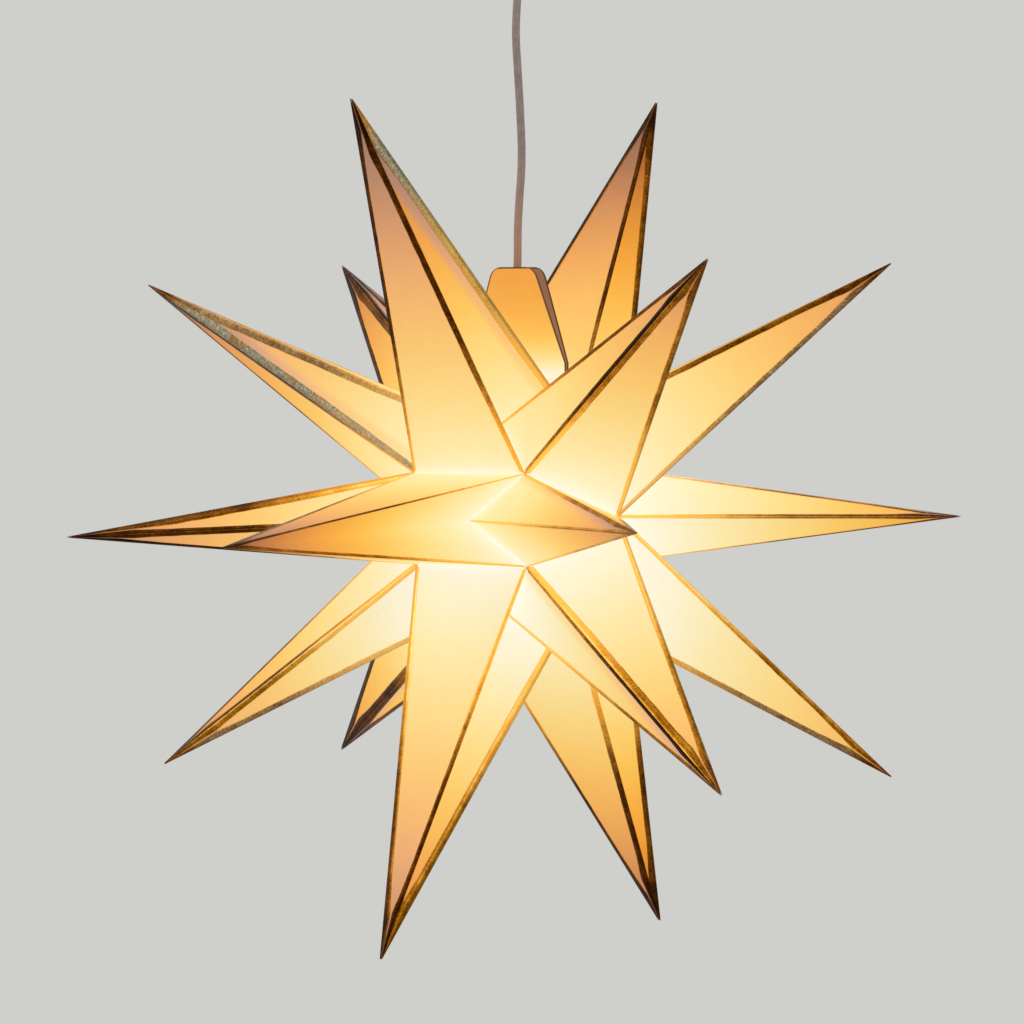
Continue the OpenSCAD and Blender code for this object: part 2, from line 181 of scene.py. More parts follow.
star = Star()
bulb_low, bulb_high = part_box("bulb")
GLOBE_R = (bulb_high.x - bulb_low.x) / 2
GLOBE = np.array([0, 0, bulb_low.z + GLOBE_R])
FOLD_Z = star.valley[OPENING, "right"][0][2]
VALLEY_HALF = star.valley[OPENING, "right"][0][0]
PAPER_T = 0.5 * MM
# A face is bowed over its middle and flat within this distance of its sides
SOFT_EDGE = 16 * MM
# Foil wraps the last 24 mm of a ray. No light comes through, as if the bulb were 110 mm further off
WRAP_LENGTH = 24 * MM
WRAP_REACH = 110
# Folds and corners that turn by more than this stay sharp
PAPER_SHARP = math.radians(12)
HARDWARE_SHARP = math.radians(30)


# Light that comes through the paper

def glow_reach(points, normal):
    """How far from the bulb a place on the paper seems, in millimetres, by its brightness.

    Paper on or facing the right looks nearer than it is, and so does paper that faces the front."""
    away = np.linalg.norm(points - GLOBE, axis=1)
    seems = 0.88 * away - 0.06 * points[:, 0] - 0.04 * points[:, 1]
    turned = 8 * normal[1] - 9 * normal[0] - 9 * max(normal[0], 0)
    at_bulb = 22
    return at_bulb + seems / MM + turned


def glow_chill(points, normal):
    """How much of the paper's tone is the room's cool light, from 0 to 1.

    It grows to the front and away from the bulb. Paper that faces left or right has little."""
    away = np.linalg.norm(points - GLOBE, axis=1)
    turned = 0.25 * normal[0] - 0.5 * normal[1] - 0.9 * normal[0] ** 2
    return np.clip(0.0017 * away / MM - 0.0014 * points[:, 1] / MM + turned - 0.26, 0, 1)


# A ray of folded paper leans off its CAD ray: how far its tip moves to the right and upwards, in mm.
# The third number is how much further from the bulb its paper seems, in mm. They were fitted to the
# tips and tones that the photograph shows. It hides the tips of the middle and left ray of row 3.
RAYS = {
    ("middle", 0, ""): (4.4, -1.8, 4), ("side", 0, "right"): (2.9, 3.0, 4),
    ("side", 0, "left"): (-2.2, -6.8, -3),
    ("middle", 1, ""): (-2.2, 1.6, 4), ("side", 1, "right"): (-1.6, 5.4, -4),
    ("side", 1, "left"): (-2.2, -7.4, -8),
    ("middle", 2, ""): (-4.6, 2.0, 20), ("side", 2, "right"): (1.8, 0.5, -4),
    ("side", 2, "left"): (1.2, 1.6, -8),
    ("middle", 3, ""): (2.0, -1.0, 12), ("side", 3, "right"): (-1.0, 4.2, -15),
    ("side", 3, "left"): (1.2, 2.0, -10),
    ("middle", 4, ""): (2.6, -1.8, 20), ("side", 4, "right"): (5.0, -2.4, -20),
    ("side", 4, "left"): (3.4, -1.8, -16),
    ("middle", 5, ""): (4.2, -1.2, 4), ("side", 5, "right"): (0.3, -2.4, -10),
    ("side", 5, "left"): (0.3, -0.6, -14),
}


def ray_name(kind, k, side=""):
    return kind, k % ROWS, side


def tip_lean(ray):
    """Offset of a ray's tip, as a vector in metres."""
    across, up = RAYS[ray][:2]
    return np.array([across, 0, up]) * MM


# Meshes of folded paper

def triangle_grid(steps):
    """Weights of the three corners at each point of a triangular grid, its faces and its rims.

    Rim i lies opposite corner i and runs the way that the faces turn."""
    index = {}
    weights = []
    for i in range(steps + 1):
        for j in range(steps + 1 - i):
            index[i, j] = len(weights)
            weights.append((i / steps, j / steps, (steps - i - j) / steps))
    faces = []
    for i in range(steps):
        for j in range(steps - i):
            faces.append((index[i, j], index[i + 1, j], index[i, j + 1]))
            if i + j < steps - 1:
                faces.append((index[i + 1, j], index[i + 1, j + 1], index[i, j + 1]))
    rims = [
        [index[0, steps - i] for i in range(steps + 1)],
        [index[i, 0] for i in range(steps + 1)],
        [index[steps - i, i] for i in range(steps + 1)],
    ]
    return np.array(weights), faces, rims


class PaperMesh:
    """Gathers faces of one sheet, with the values that the paper's material reads."""

    def __init__(self):
        self.points = []
        self.faces = []
        self.values = {"reach": [], "chill": [], "lap": [], "folds": [], "rim": []}

    def add(self, points, faces, **values):
        """Adds faces and their points. A value is given for each point or once for all of them."""
        base = len(self.points)
        self.points.extend(points.tolist())
        self.faces.extend([tuple(base + i for i in f) for f in faces])
        for key, value in values.items():
            shape = (len(points), 3) if key == "folds" else len(points)
            self.values[key].extend(np.broadcast_to(value, shape).tolist())

    def build(self, name):
        mesh = bpy.data.meshes.new(name)
        mesh.from_pydata(self.points, [], self.faces)
        owner = np.zeros(len(mesh.loops), int)
        mesh.loops.foreach_get("vertex_index", owner)
        for key, kind, field in (
            ("reach", "FLOAT", "value"),
            ("chill", "FLOAT", "value"),
            ("lap", "FLOAT", "value"),
            ("rim", "FLOAT", "value"),
            ("folds", "FLOAT_VECTOR", "vector"),
        ):
            spread = np.array(self.values[key], np.float32)[owner]
            mesh.attributes.new(key, kind, "CORNER").data.foreach_set(field, spread.ravel())
        work = bmesh.new()
        work.from_mesh(mesh)
        bmesh.ops.remove_doubles(work, verts=work.verts, dist=TOUCH / 20)
        work.to_mesh(mesh)
        work.free()
        mesh.shade_smooth()
        mesh.set_sharp_from_angle(angle=PAPER_SHARP)
        return mesh


def add_panel(sheet, pairs, kinds, walls, ray, warp, bend=None, steps=28):
    """Adds one triangle of folded paper, its tip first. It turns anticlockwise as seen from outside.

    kinds says what each side is, opposite its corner: fold, ridge, gusset, or the width in mm of
    the glued lap of paper behind a ridge."""
    weights, faces, rims = triangle_grid(steps)
    outer = np.array([p[0] for p in pairs])
    inner = np.array([p[1] for p in pairs])
    normal = np.cross(outer[1] - outer[0], outer[2] - outer[0])
    double_area = np.linalg.norm(normal)
    normal = normal / double_area
    sides = [np.linalg.norm(outer[(i + 2) % 3] - outer[(i + 1) % 3]) for i in range(3)]
    gaps = weights * (double_area / np.array(sides))
    spread = np.prod(1 - np.exp(-(gaps / SOFT_EDGE) ** 2), axis=1)
    lift = np.outer(warp * spread, normal)
    top = weights @ outer + lift
    under = weights @ inner + lift
    if bend:
        top, under = bend(weights, top, under)
    wrapped = np.clip(1 - np.linalg.norm(top - outer[0], axis=1) / WRAP_LENGTH, 0, 1)
    reach = glow_reach(top, normal) + RAYS[ray][2] + WRAP_REACH * wrapped
    chill = glow_chill(top, normal) * (1 - wrapped)
    leaning = np.outer(weights[:, 0], tip_lean(ray))
    lap_width = np.array([-NO_EDGE if isinstance(kind, str) else kind for kind in kinds])
    is_fold = np.array([kind == "fold" for kind in kinds])
    lap = (gaps / MM - lap_width).min(axis=1)
    folds = np.where(is_fold, gaps / MM, NO_EDGE)
    count = len(top)
    both = list(faces) + [tuple(count + i for i in reversed(f)) for f in faces]
    for i in walls:
        line = rims[i]
        for a, b in zip(line[:-1], line[1:]):
            both.append((b, a, a + count, b + count))
    sheet.add(np.vstack([top + leaning, under + leaning]), both, reach=np.tile(reach, 2),
              chill=np.tile(chill, 2), lap=np.tile(lap, 2), folds=np.tile(folds, (2, 1)), rim=NO_EDGE)


def facing_out(pairs, kinds, walls, ray):
    """Turns a triangle so that it faces away from the middle of the star."""
    outer = np.array([p[0] for p in pairs])
    normal = np.cross(outer[1] - outer[0], outer[2] - outer[0])
    if normal @ (outer.mean(axis=0) - star.centre) > 0:
        return pairs, kinds, walls, ray
    turned = (0, 2, 1)
    return [pairs[i] for i in turned], [kinds[i] for i in turned], [turned[i] for i in walls], ray


def finish_piece(name, mesh, material, replaced):
    piece = bpy.data.objects.new(name, mesh)
    bpy.context.scene.collection.objects.link(piece)
    mesh.materials.clear()
    mesh.materials.append(material)
    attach(piece, BODY)
    if replaced:
        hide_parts(*replaced)
    return piece


# Width in mm of the glued lap of paper behind the outer ridge of a wing face, where it has one
LAPS = {
    ("side", 0, "right", True): 5, ("middle", 1, "right", True): 9, ("side", 1, "left", False): 9,
    ("side", 2, "left", False): 8, ("middle", 2, "left", True): 9, ("side", 3, "right", False): 9,
    ("middle", 3, "left", False): 9, ("side", 4, "left", True): 6, ("middle", 4, "left", False): 9,
    ("side", 5, "right", True): 8,
}


def spine_panels(k):
    right = star.valley[k, "right"]
    left = star.valley[k, "left"]
    kinds = ["fold", "ridge", "ridge"]
    return [([star.tip[ray % ROWS], right, left], kinds, [1, 2], ray_name("middle", ray))
            for ray in (k, k + 1)]


def pole_panels(k, side, rays):
    panels = []
    for ray in rays:
        pairs = [star.side_tip[ray % ROWS, side], star.valley[k, side], star.pole[side]]
        walls = [1, 2] if len(rays) == 2 else [0, 1, 2]
        panels.append((pairs, ["fold", "ridge", "ridge"], walls, ray_name("side", ray, side)))
    return panels


def wing_panels(k, side):
    panels = []
    for upper, valley in ((False, star.valley[(k - 1) % ROWS, side]), (True, star.valley[k, side])):
        edges = [LAPS.get((kind, k, side, upper), "ridge") for kind in ("middle", "side")]
        panels.append(([star.tip[k], valley, star.notch[k, side]], ["fold", "gusset", edges[0]], [2],
                       ray_name("middle", k)))
        panels.append(([star.side_tip[k, side], valley, star.notch[k, side]],
                       ["fold", "ridge", edges[1]], [2], ray_name("side", k, side)))
    return panels


def make_sheet(name, panels, material, settings, random):
    sheet = PaperMesh()
    for panel in panels:
        warp = random.uniform(-1, 1) * settings.warp
        add_panel(sheet, *facing_out(*panel), warp, steps=settings.grid_steps)
    return finish_piece(name + "_paper", sheet.build(name + "_paper"), material, [name])


# Flap panels at the opening

# The inner side of a flap reaches below its fold by this many thicknesses of the paper
FOOT_DROP = 2.1
# The outer side of a flap has little of the room's cool light. The inner sides are in each other's
# shade, dusky brown
FLAP_CHILL = 0.12
SHADE_CHILL = 0.6
SHADE_REACH = 225


def flap_reach(level):
    """Reach on a flap's outer side: near white at its foot, where the bulb shines on it, then
    orange."""
    return np.maximum(60, 215 - 600 * np.exp(-level / (20.5 * MM)))


def flap_bow(along, bow):
    """How far a flap stands off the middle plane, round the cord."""
    return bow * np.maximum(0, 1 - (along / VALLEY_HALF) ** 2)


def flap_outline(flap, height):
    """Rows from the fold to the top edge, as half width and height above the fold."""
    round_steps = 10
    straight_steps = 30
    start = math.radians(20)
    shoulder_end = (flap.half_top + flap.corner_r * math.cos(start),
                    height - flap.corner_r * (1 - math.sin(start)))
    rows = []
    for i in range(straight_steps):
        level = shoulder_end[1] * i / straight_steps
        share = max(0, (level - flap.shoulder_h) / (shoulder_end[1] - flap.shoulder_h))
        rows.append((flap.half_base + (shoulder_end[0] - flap.half_base) * share, level))
    for i in range(round_steps + 1):
        turn = start + (math.pi / 2 - start) * i / round_steps
        rows.append((flap.half_top + flap.corner_r * math.cos(turn),
                     height - flap.corner_r * (1 - math.sin(turn))))
    return np.array(rows)


def add_flap(sheet, way, lean, flap, height):
    """Adds the rounded panel that stands on the fold of an end sheet."""
    across_steps = 24
    rows = flap_outline(flap, height)
    share = np.linspace(-1, 1, across_steps + 1)
    along = rows[:, :1] * share
    level = np.repeat(rows[:, 1:], across_steps + 1, axis=1)
    away = flap_bow(along, flap.bow) + level * math.tan(lean)
    shape = along.shape

    def points(deep):
        drop = np.where(level == 0, deep * FOOT_DROP, 0) * PAPER_T
        places = [along, way * (away - deep * PAPER_T), FOLD_Z + level - drop]
        return np.stack(places, axis=-1).reshape(-1, 3)

    width = shape[1]
    count = shape[0] * width
    faces = []
    for r in range(shape[0] - 1):
        for c in range(width - 1):
            a = r * width + c
            quad = (a, a + 1, a + 1 + width, a + width)
            faces.append(quad if way < 0 else quad[::-1])
    both = faces + [tuple(count + i for i in reversed(f)) for f in faces]
    rim = ([c for c in range(width)]
           + [r * width + width - 1 for r in range(1, shape[0])]
           + [(shape[0] - 1) * width + c for c in range(width - 2, -1, -1)]
           + [r * width for r in range(shape[0] - 2, 0, -1)])
    rim = rim if way < 0 else rim[::-1]
    for a, b in zip(rim, rim[1:] + rim[:1]):
        both.append((b, a, a + count, b + count))
    outside = points(0)
    inset = np.minimum(rows[:, :1] - np.abs(along), height - level).reshape(-1) / MM
    reach = flap_reach(level.reshape(-1))
    chill = np.repeat([FLAP_CHILL, SHADE_CHILL], count)
    fold = np.stack([level.reshape(-1) / MM, np.full(count, NO_EDGE), np.full(count, NO_EDGE)], axis=-1)
    sheet.add(np.vstack([outside, points(1)]), both, chill=chill, lap=NO_EDGE,
              reach=np.append(reach, SHADE_REACH + 0.3 * reach), folds=np.tile(fold, (2, 1)),
              rim=np.tile(inset, 2))


def make_end_sheet(name, k, way, lean, material, settings, flap, random):
    """Triangle of a middle ray beside the opening, with its fold bowed round the cord."""
    sheet = PaperMesh()
    around = corners(name)
    height = around[np.abs(around[:, 1]) < VALLEY_HALF / 2][:, 2].max() - FOLD_Z
    right = star.valley[OPENING, "right"]
    left = star.valley[OPENING, "left"]
    panel = facing_out([star.tip[k], right, left], ["fold", "ridge", "ridge"], [0, 1, 2],
                       ray_name("middle", k))

    def bend(weights, top, under):
        near = 1 - weights[:, 0]
        along = np.where(near > 0, top[:, 0] / np.maximum(near, 1e-6), 0)
        bow = flap_bow(along, flap.bow)
        top = top + np.outer(bow * near, (0, way, 0))
        under = under + np.outer(np.maximum(bow - PAPER_T, 0) * near, (0, way, 0))
        return top, under

    warp = random.uniform(-1, 1) * settings.warp
    add_panel(sheet, *panel, warp, bend, settings.grid_steps)
    add_flap(sheet, way, lean, flap, height)
    return finish_piece(name + "_paper", sheet.build(name + "_paper"), material, [name])


# Materials

def new_material(name):
    material = bpy.data.materials.new(name)
    material.use_nodes = True
    tree = material.node_tree
    tree.nodes.clear()
    material.cycles.emission_sampling = "NONE"
    return material, tree


def nearest_line(tree, attribute):
    """Distance to the nearest of the three lines that an attribute holds."""
    held = add_node(tree, "ShaderNodeAttribute", attribute_name=attribute).outputs["Vector"]
    first, second, third = add_node(tree, "ShaderNodeSeparateXYZ", {0: held}).outputs
    nearest = add_node(tree, "ShaderNodeMath", {0: first, 1: second}, operation="MINIMUM")
    return add_node(tree, "ShaderNodeMath", {0: nearest, 1: third}, operation="MINIMUM")


def translucent_paper():
    """Uncoated ivory paper, lit from inside as painted glow: soft clouds of fibre, painted light along
    the folds, painted shade, rosy, where glued laps make it double.
    """
    material, tree = new_material("Translucent ivory paper")
    place = add_node(tree, "ShaderNodeTexCoord").outputs["Object"]
    reach, chill, lap, rim = [
        add_node(tree, "ShaderNodeAttribute", attribute_name=name).outputs["Fac"]
        for name in ("reach", "chill", "lap", "rim")]
    fold = nearest_line(tree, "folds")

    # Clouds of 7 mm in the fibre change the brightness a little
    cloud = add_node(tree, "ShaderNodeTexNoise",
                     {"Vector": place, "Scale": 1 / (7 * MM), "Detail": 5, "Roughness": 0.6})
    cloud_shift = add_node(tree, "ShaderNodeMapRange",
                           {"Value": cloud, "From Min": 0.3, "From Max": 0.7,
                            "To Min": -2, "To Max": 2})
    # The paper is brightest along its valley folds, over 4 mm, as if it were 22 mm nearer
    fold_share = add_node(tree, "ShaderNodeMath", {0: fold, 1: -1 / 4}, operation="MULTIPLY")
    fold_glow = add_node(tree, "ShaderNodeMath", {0: fold_share}, operation="EXPONENT")
    # A glued lap makes the paper double behind some ridges, and less light comes through: painted
    # shade, as if it were 26 mm further off. Its edge is 4 mm soft
    lapped = add_node(tree, "ShaderNodeMapRange",
                      {"Value": lap, "From Min": -2, "From Max": 2, "To Min": 1, "To Max": 0})
    shifted = add_node(tree, "ShaderNodeMath", {0: reach, 1: cloud_shift}, operation="ADD")
    unfolded = add_node(tree, "ShaderNodeMath",
                        {0: fold_glow, 1: -22, 2: shifted}, operation="MULTIPLY_ADD")
    level = add_node(tree, "ShaderNodeMath",
                     {0: lapped, 1: 26, 2: unfolded}, operation="MULTIPLY_ADD")
    share = add_node(tree, "ShaderNodeMapRange",
                     {"Value": level, "From Min": 40, "From Max": 300})
    # From 40 mm to 300 mm of reach, the bulb's light alone: near white, yellow, orange, brown
    warm = add_node(tree, "ShaderNodeValToRGB", {0: share}, stops=[
        (0.02, "#FFFCF0"), (0.115, "#FFF7D9"), (0.21, "#FFEEB4"), (0.33, "#FFE08A"),
        (0.44, "#FFCD62"), (0.54, "#FBBA48"), (0.635, "#F3A535"), (0.73, "#DE8E31"),
        (0.845, "#AF6422"), (0.95, "#824B19"), (1.0, "#5E3210")])
    # With the room's cool light on it: near white, cream, peach, dusky rose
    cool = add_node(tree, "ShaderNodeValToRGB", {0: share}, stops=[
        (0.02, "#FFFCF0"), (0.115, "#FFF7D9"), (0.21, "#FFEDB4"), (0.33, "#FEDE97"),
        (0.44, "#FDCE86"), (0.54, "#F7BF81"), (0.635, "#E9AF80"), (0.73, "#D39E7A"),
        (0.845, "#B78B74"), (0.95, "#A07C6A"), (1.0, "#7E5B4E")])
    # The room's cool light on the paper, with more of it on glued laps as painted shade
    chilled = add_node(tree, "ShaderNodeMath", {0: lapped, 1: 0.8, 2: chill},
                       operation="MULTIPLY_ADD", use_clamp=True)
    color = add_node(tree, "ShaderNodeMix",
                     {"Factor": chilled, "A": warm, "B": cool},
                     data_type="RGBA")
    # Fibres, drawn at 1.2 mm so that they show
    fibre = add_node(tree, "ShaderNodeTexNoise",
                     {"Vector": place, "Scale": 1 / (1.2 * MM), "Detail": 4, "Roughness": 0.7})
    fibre_tone = add_node(tree, "ShaderNodeValToRGB", {0: fibre},
                          stops=[(0.3, "#FBF8F4"), (0.7, "#FFFFFF")])
    mottled = add_node(tree, "ShaderNodeMix",
                       {"Factor": 1.0, "A": color, "B": fibre_tone},
                       data_type="RGBA", blend_type="MULTIPLY")
    # Cut edge of the flap panels, 1 mm wide
    cut = add_node(tree, "ShaderNodeMapRange",
                   {"Value": rim, "From Min": 0.7, "From Max": 1.2, "To Min": 1, "To Max": 0})
    edged = add_node(tree, "ShaderNodeMix",
                     {"Factor": cut, "A": mottled,
                      "B": (*linear("#5C3C22"), 1)}, data_type="RGBA", blend_type="MIX")
    # Painted light: the painted tone is both the emission and, a quarter as strong, the base colour
    own = add_node(tree, "ShaderNodeMix",
                   {"Factor": 1.0, "A": edged, "B": (0.25, 0.25, 0.25, 1)},
                   data_type="RGBA", blend_type="MULTIPLY")
    bump = add_node(tree, "ShaderNodeBump",
                    {"Height": fibre, "Strength": 0.25, "Distance": 0.1 * MM})
    surface = add_node(tree, "ShaderNodeBsdfPrincipled",
                       {"Base Color": own, "Roughness": 0.65,
                        "Specular IOR Level": 0.3, "Emission Color": edged,
                        "Emission Strength": 0.8, "Normal": bump})
    add_node(tree, "ShaderNodeOutputMaterial", {"Surface": surface})
    return material


def gold_foil():
    """Hot-stamped gold foil on paper: coarse grain, brown to pale gold with painted light and shade,
    silvery in places, a painted highlight along its crest, and brighter where its cut edge is rubbed."""
    material, tree = new_material("Hot-stamped gold foil")
    place = add_node(tree, "ShaderNodeTexCoord").outputs["Object"]
    across, tip_away, own_tone, silver = [
        add_node(tree, "ShaderNodeAttribute", attribute_name=name).outputs["Fac"]
        for name in ("across", "tip_away", "tone", "silver")]
    # Grain of 1.4 mm, drawn coarse so that it shows, in patches of 11 mm
    grain = add_node(tree, "ShaderNodeTexNoise",
                     {"Vector": place, "Scale": 1 / (1.4 * MM), "Detail": 4, "Roughness": 0.8})
    patch = add_node(tree, "ShaderNodeTexNoise",
                     {"Vector": place, "Scale": 1 / (11 * MM), "Detail": 3, "Roughness": 0.6})
    away = add_node(tree, "ShaderNodeVectorMath", {0: place, 1: GLOBE.tolist()}, operation="DISTANCE")
    # What each share goes by, from where to where, and what it is at those two ends
    ranges = {
        "grained": (grain, 0.35, 0.65, -0.14, 0.16),
        "patched": (patch, 0.35, 0.65, -0.1, 0.12),
        # Painted highlight along the crest of the ridge
        "crest": (across, 0, 0.14, 0.3, 0),
        "cut edge": (across, 0.88, 1, 0, 0.22),
        "dark tip": (tip_away, 8 * MM, 45 * MM, -0.28, 0),
        # Painted light near the bulb, less of it on the darkest foil
        "lit": (away, 80 * MM, 165 * MM, 0.6, 0),
        "lit_by_tone": (own_tone, 0.02, 0.2, 0.5, 1),
        "past tip": (tip_away, 14 * MM, 34 * MM, 0, 1),
        "silver patch": (patch, 0.3, 0.55, 0.45, 1),
        "rough": (grain, 0.3, 0.7, 0.26, 0.5),
        "near": (away, 85 * MM, 165 * MM, 0.8, 0),
        "gold": (silver, 0, 1, 1, 0.55),
    }
    share = {}
    for name, (value, low, high, at_low, at_high) in ranges.items():
        share[name] = add_node(tree, "ShaderNodeMapRange",
                               {"Value": value, "From Min": low, "From Max": high,
                                "To Min": at_low, "To Max": at_high})
    # Painted light: foil near the bulb is lighter, less so where its own tone is darkest
    tone = add_node(tree, "ShaderNodeMath", {0: share["lit"], 1: share["lit_by_tone"], 2: own_tone},
                    operation="MULTIPLY_ADD")
    for name in ("grained", "patched", "crest", "cut edge", "dark tip"):
        tone = add_node(tree, "ShaderNodeMath", {0: tone, 1: share[name]}, operation="ADD")
    gold = add_node(tree, "ShaderNodeValToRGB", {0: tone}, stops=[
        (0.0, "#221003"), (0.25, "#5A2F04"), (0.5, "#955A0C"), (0.75, "#CC8F28"), (1.0, "#F2C76C")])
    # Silvered foil has grains of greenish grey to white
    silver_tone = add_node(tree, "ShaderNodeValToRGB", {0: grain}, stops=[
        (0.3, "#6E6750"), (0.5, "#A39C80"), (0.62, "#C9C4AE"), (0.72, "#F4EFE2")])
    silvered = silver
    for name in ("past tip", "silver patch"):
        silvered = add_node(tree, "ShaderNodeMath", {0: silvered, 1: share[name]},
                            operation="MULTIPLY")
    foil = add_node(tree, "ShaderNodeMix", {"Factor": silvered, "A": gold, "B": silver_tone},
                    data_type="RGBA")
    # Some of the bulb's light comes through, least where the foil is silvered or darkest. Foil that
    # is bright by itself needs less of it
    through = add_node(tree, "ShaderNodeMath", {0: share["near"], 1: share["gold"]},
                       operation="MULTIPLY")
    for low, high, at_low, at_high in ((0.1, 0.6, 0.1, 1), (0.7, 1.3, 1, 0.5)):
        passed = add_node(tree, "ShaderNodeMapRange",
                          {"Value": tone, "From Min": low, "From Max": high,
                           "To Min": at_low, "To Max": at_high})
        through = add_node(tree, "ShaderNodeMath", {0: through, 1: passed}, operation="MULTIPLY")
    glow = add_node(tree, "ShaderNodeMix",
                    {"Factor": through, "A": (0, 0, 0, 1), "B": (*linear("#EEA340"), 1)},
                    data_type="RGBA")
    bump = add_node(tree, "ShaderNodeBump", {"Height": grain, "Strength": 0.5, "Distance": 0.15 * MM})
    surface = add_node(tree, "ShaderNodeBsdfPrincipled",
                       {"Base Color": foil, "Metallic": 1.0, "Roughness": share["rough"],
                        "Emission Color": glow, "Emission Strength": 1.0, "Normal": bump})
    add_node(tree, "ShaderNodeOutputMaterial", {"Surface": surface})
    return material


def speckled(name, low, high, grain, roughness, metallic=0.0, bump_depth=0.02, glow=0.0):
    """A moulded, plated or cast surface: two close tones in grains of a real size."""
    material, tree = new_material(name)
    place = add_node(tree, "ShaderNodeTexCoord").outputs["Object"]
    noise = add_node(tree, "ShaderNodeTexNoise",
                     {"Vector": place, "Scale": 1 / grain, "Detail": 4, "Roughness": 0.65})
    tones = add_node(tree, "ShaderNodeValToRGB", {0: noise},
                     stops=[(0.35, low), (0.65, high)])
    bump = add_node(tree, "ShaderNodeBump",
                    {"Height": noise, "Strength": 0.3, "Distance": bump_depth * MM})
    inputs = {"Base Color": tones, "Roughness": roughness, "Metallic": metallic,
              "Normal": bump}
    if glow:
        inputs["Emission Color"] = tones
        inputs["Emission Strength"] = glow
    surface = add_node(tree, "ShaderNodeBsdfPrincipled", inputs)
    add_node(tree, "ShaderNodeOutputMaterial", {"Surface": surface})
    return material


def pvc_cord_material():
    """Extruded PVC cord: smooth and slightly cloudy, warm in the lamp's light near the flap."""
    material, tree = new_material("Extruded PVC cord")
    place = add_node(tree, "ShaderNodeTexCoord").outputs["Object"]
    height = add_node(tree, "ShaderNodeSeparateXYZ", {0: place}).outputs[2]
    cloud = add_node(tree, "ShaderNodeTexNoise",
                     {"Vector": place, "Scale": 1 / (5 * MM), "Detail": 4, "Roughness": 0.6})
    tones = add_node(tree, "ShaderNodeValToRGB", {0: cloud},
                     stops=[(0.3, "#83736F"), (0.7, "#9A8984")])
    warm = add_node(tree, "ShaderNodeMapRange",
                    {"Value": height, "From Min": -0.235, "From Max": -0.16, "To Min": 0.6,
                     "To Max": 0})
    tinted = add_node(tree, "ShaderNodeMix",
                      {"Factor": warm, "A": tones,
                       "B": (*linear("#C08A5C"), 1)}, data_type="RGBA")
    bump = add_node(tree, "ShaderNodeBump",
                    {"Height": cloud, "Strength": 0.15, "Distance": 0.1 * MM})
    surface = add_node(tree, "ShaderNodeBsdfPrincipled",
                       {"Base Color": tinted, "Roughness": 0.42,
                        "Normal": bump})
    add_node(tree, "ShaderNodeOutputMaterial", {"Surface": surface})
    return material


# Gilt edging: a strip of foil folded over each ridge

# Width of a strip on one face of its ridge, in mm
STRIP_WIDTH = {"thin": 1.3, "narrow": 2.3, "medium": 3.2, "wide": 4.6, "broad": 6.2}
# Tone of the foil from black-brown, 0, to pale gold, 1, its share of silver, and how far from the
# tip the silver reaches, in mm. The tones are partly painted light and shade: a ridge that faces
# the light is set paler, a shaded one darker
STRIP_TONE = {"black": (0.02, 0.0, 1), "dark": (0.2, 0.0, 1), "brown": (0.36, 0.0, 1),
              "gold": (0.58, 0.0, 1), "bright": (0.85, 0.0, 1), "silver": (0.7, 1.0, 400),
              "fading": (0.95, 0.9, 115), "rosy": (0.55, 0.4, 400)}
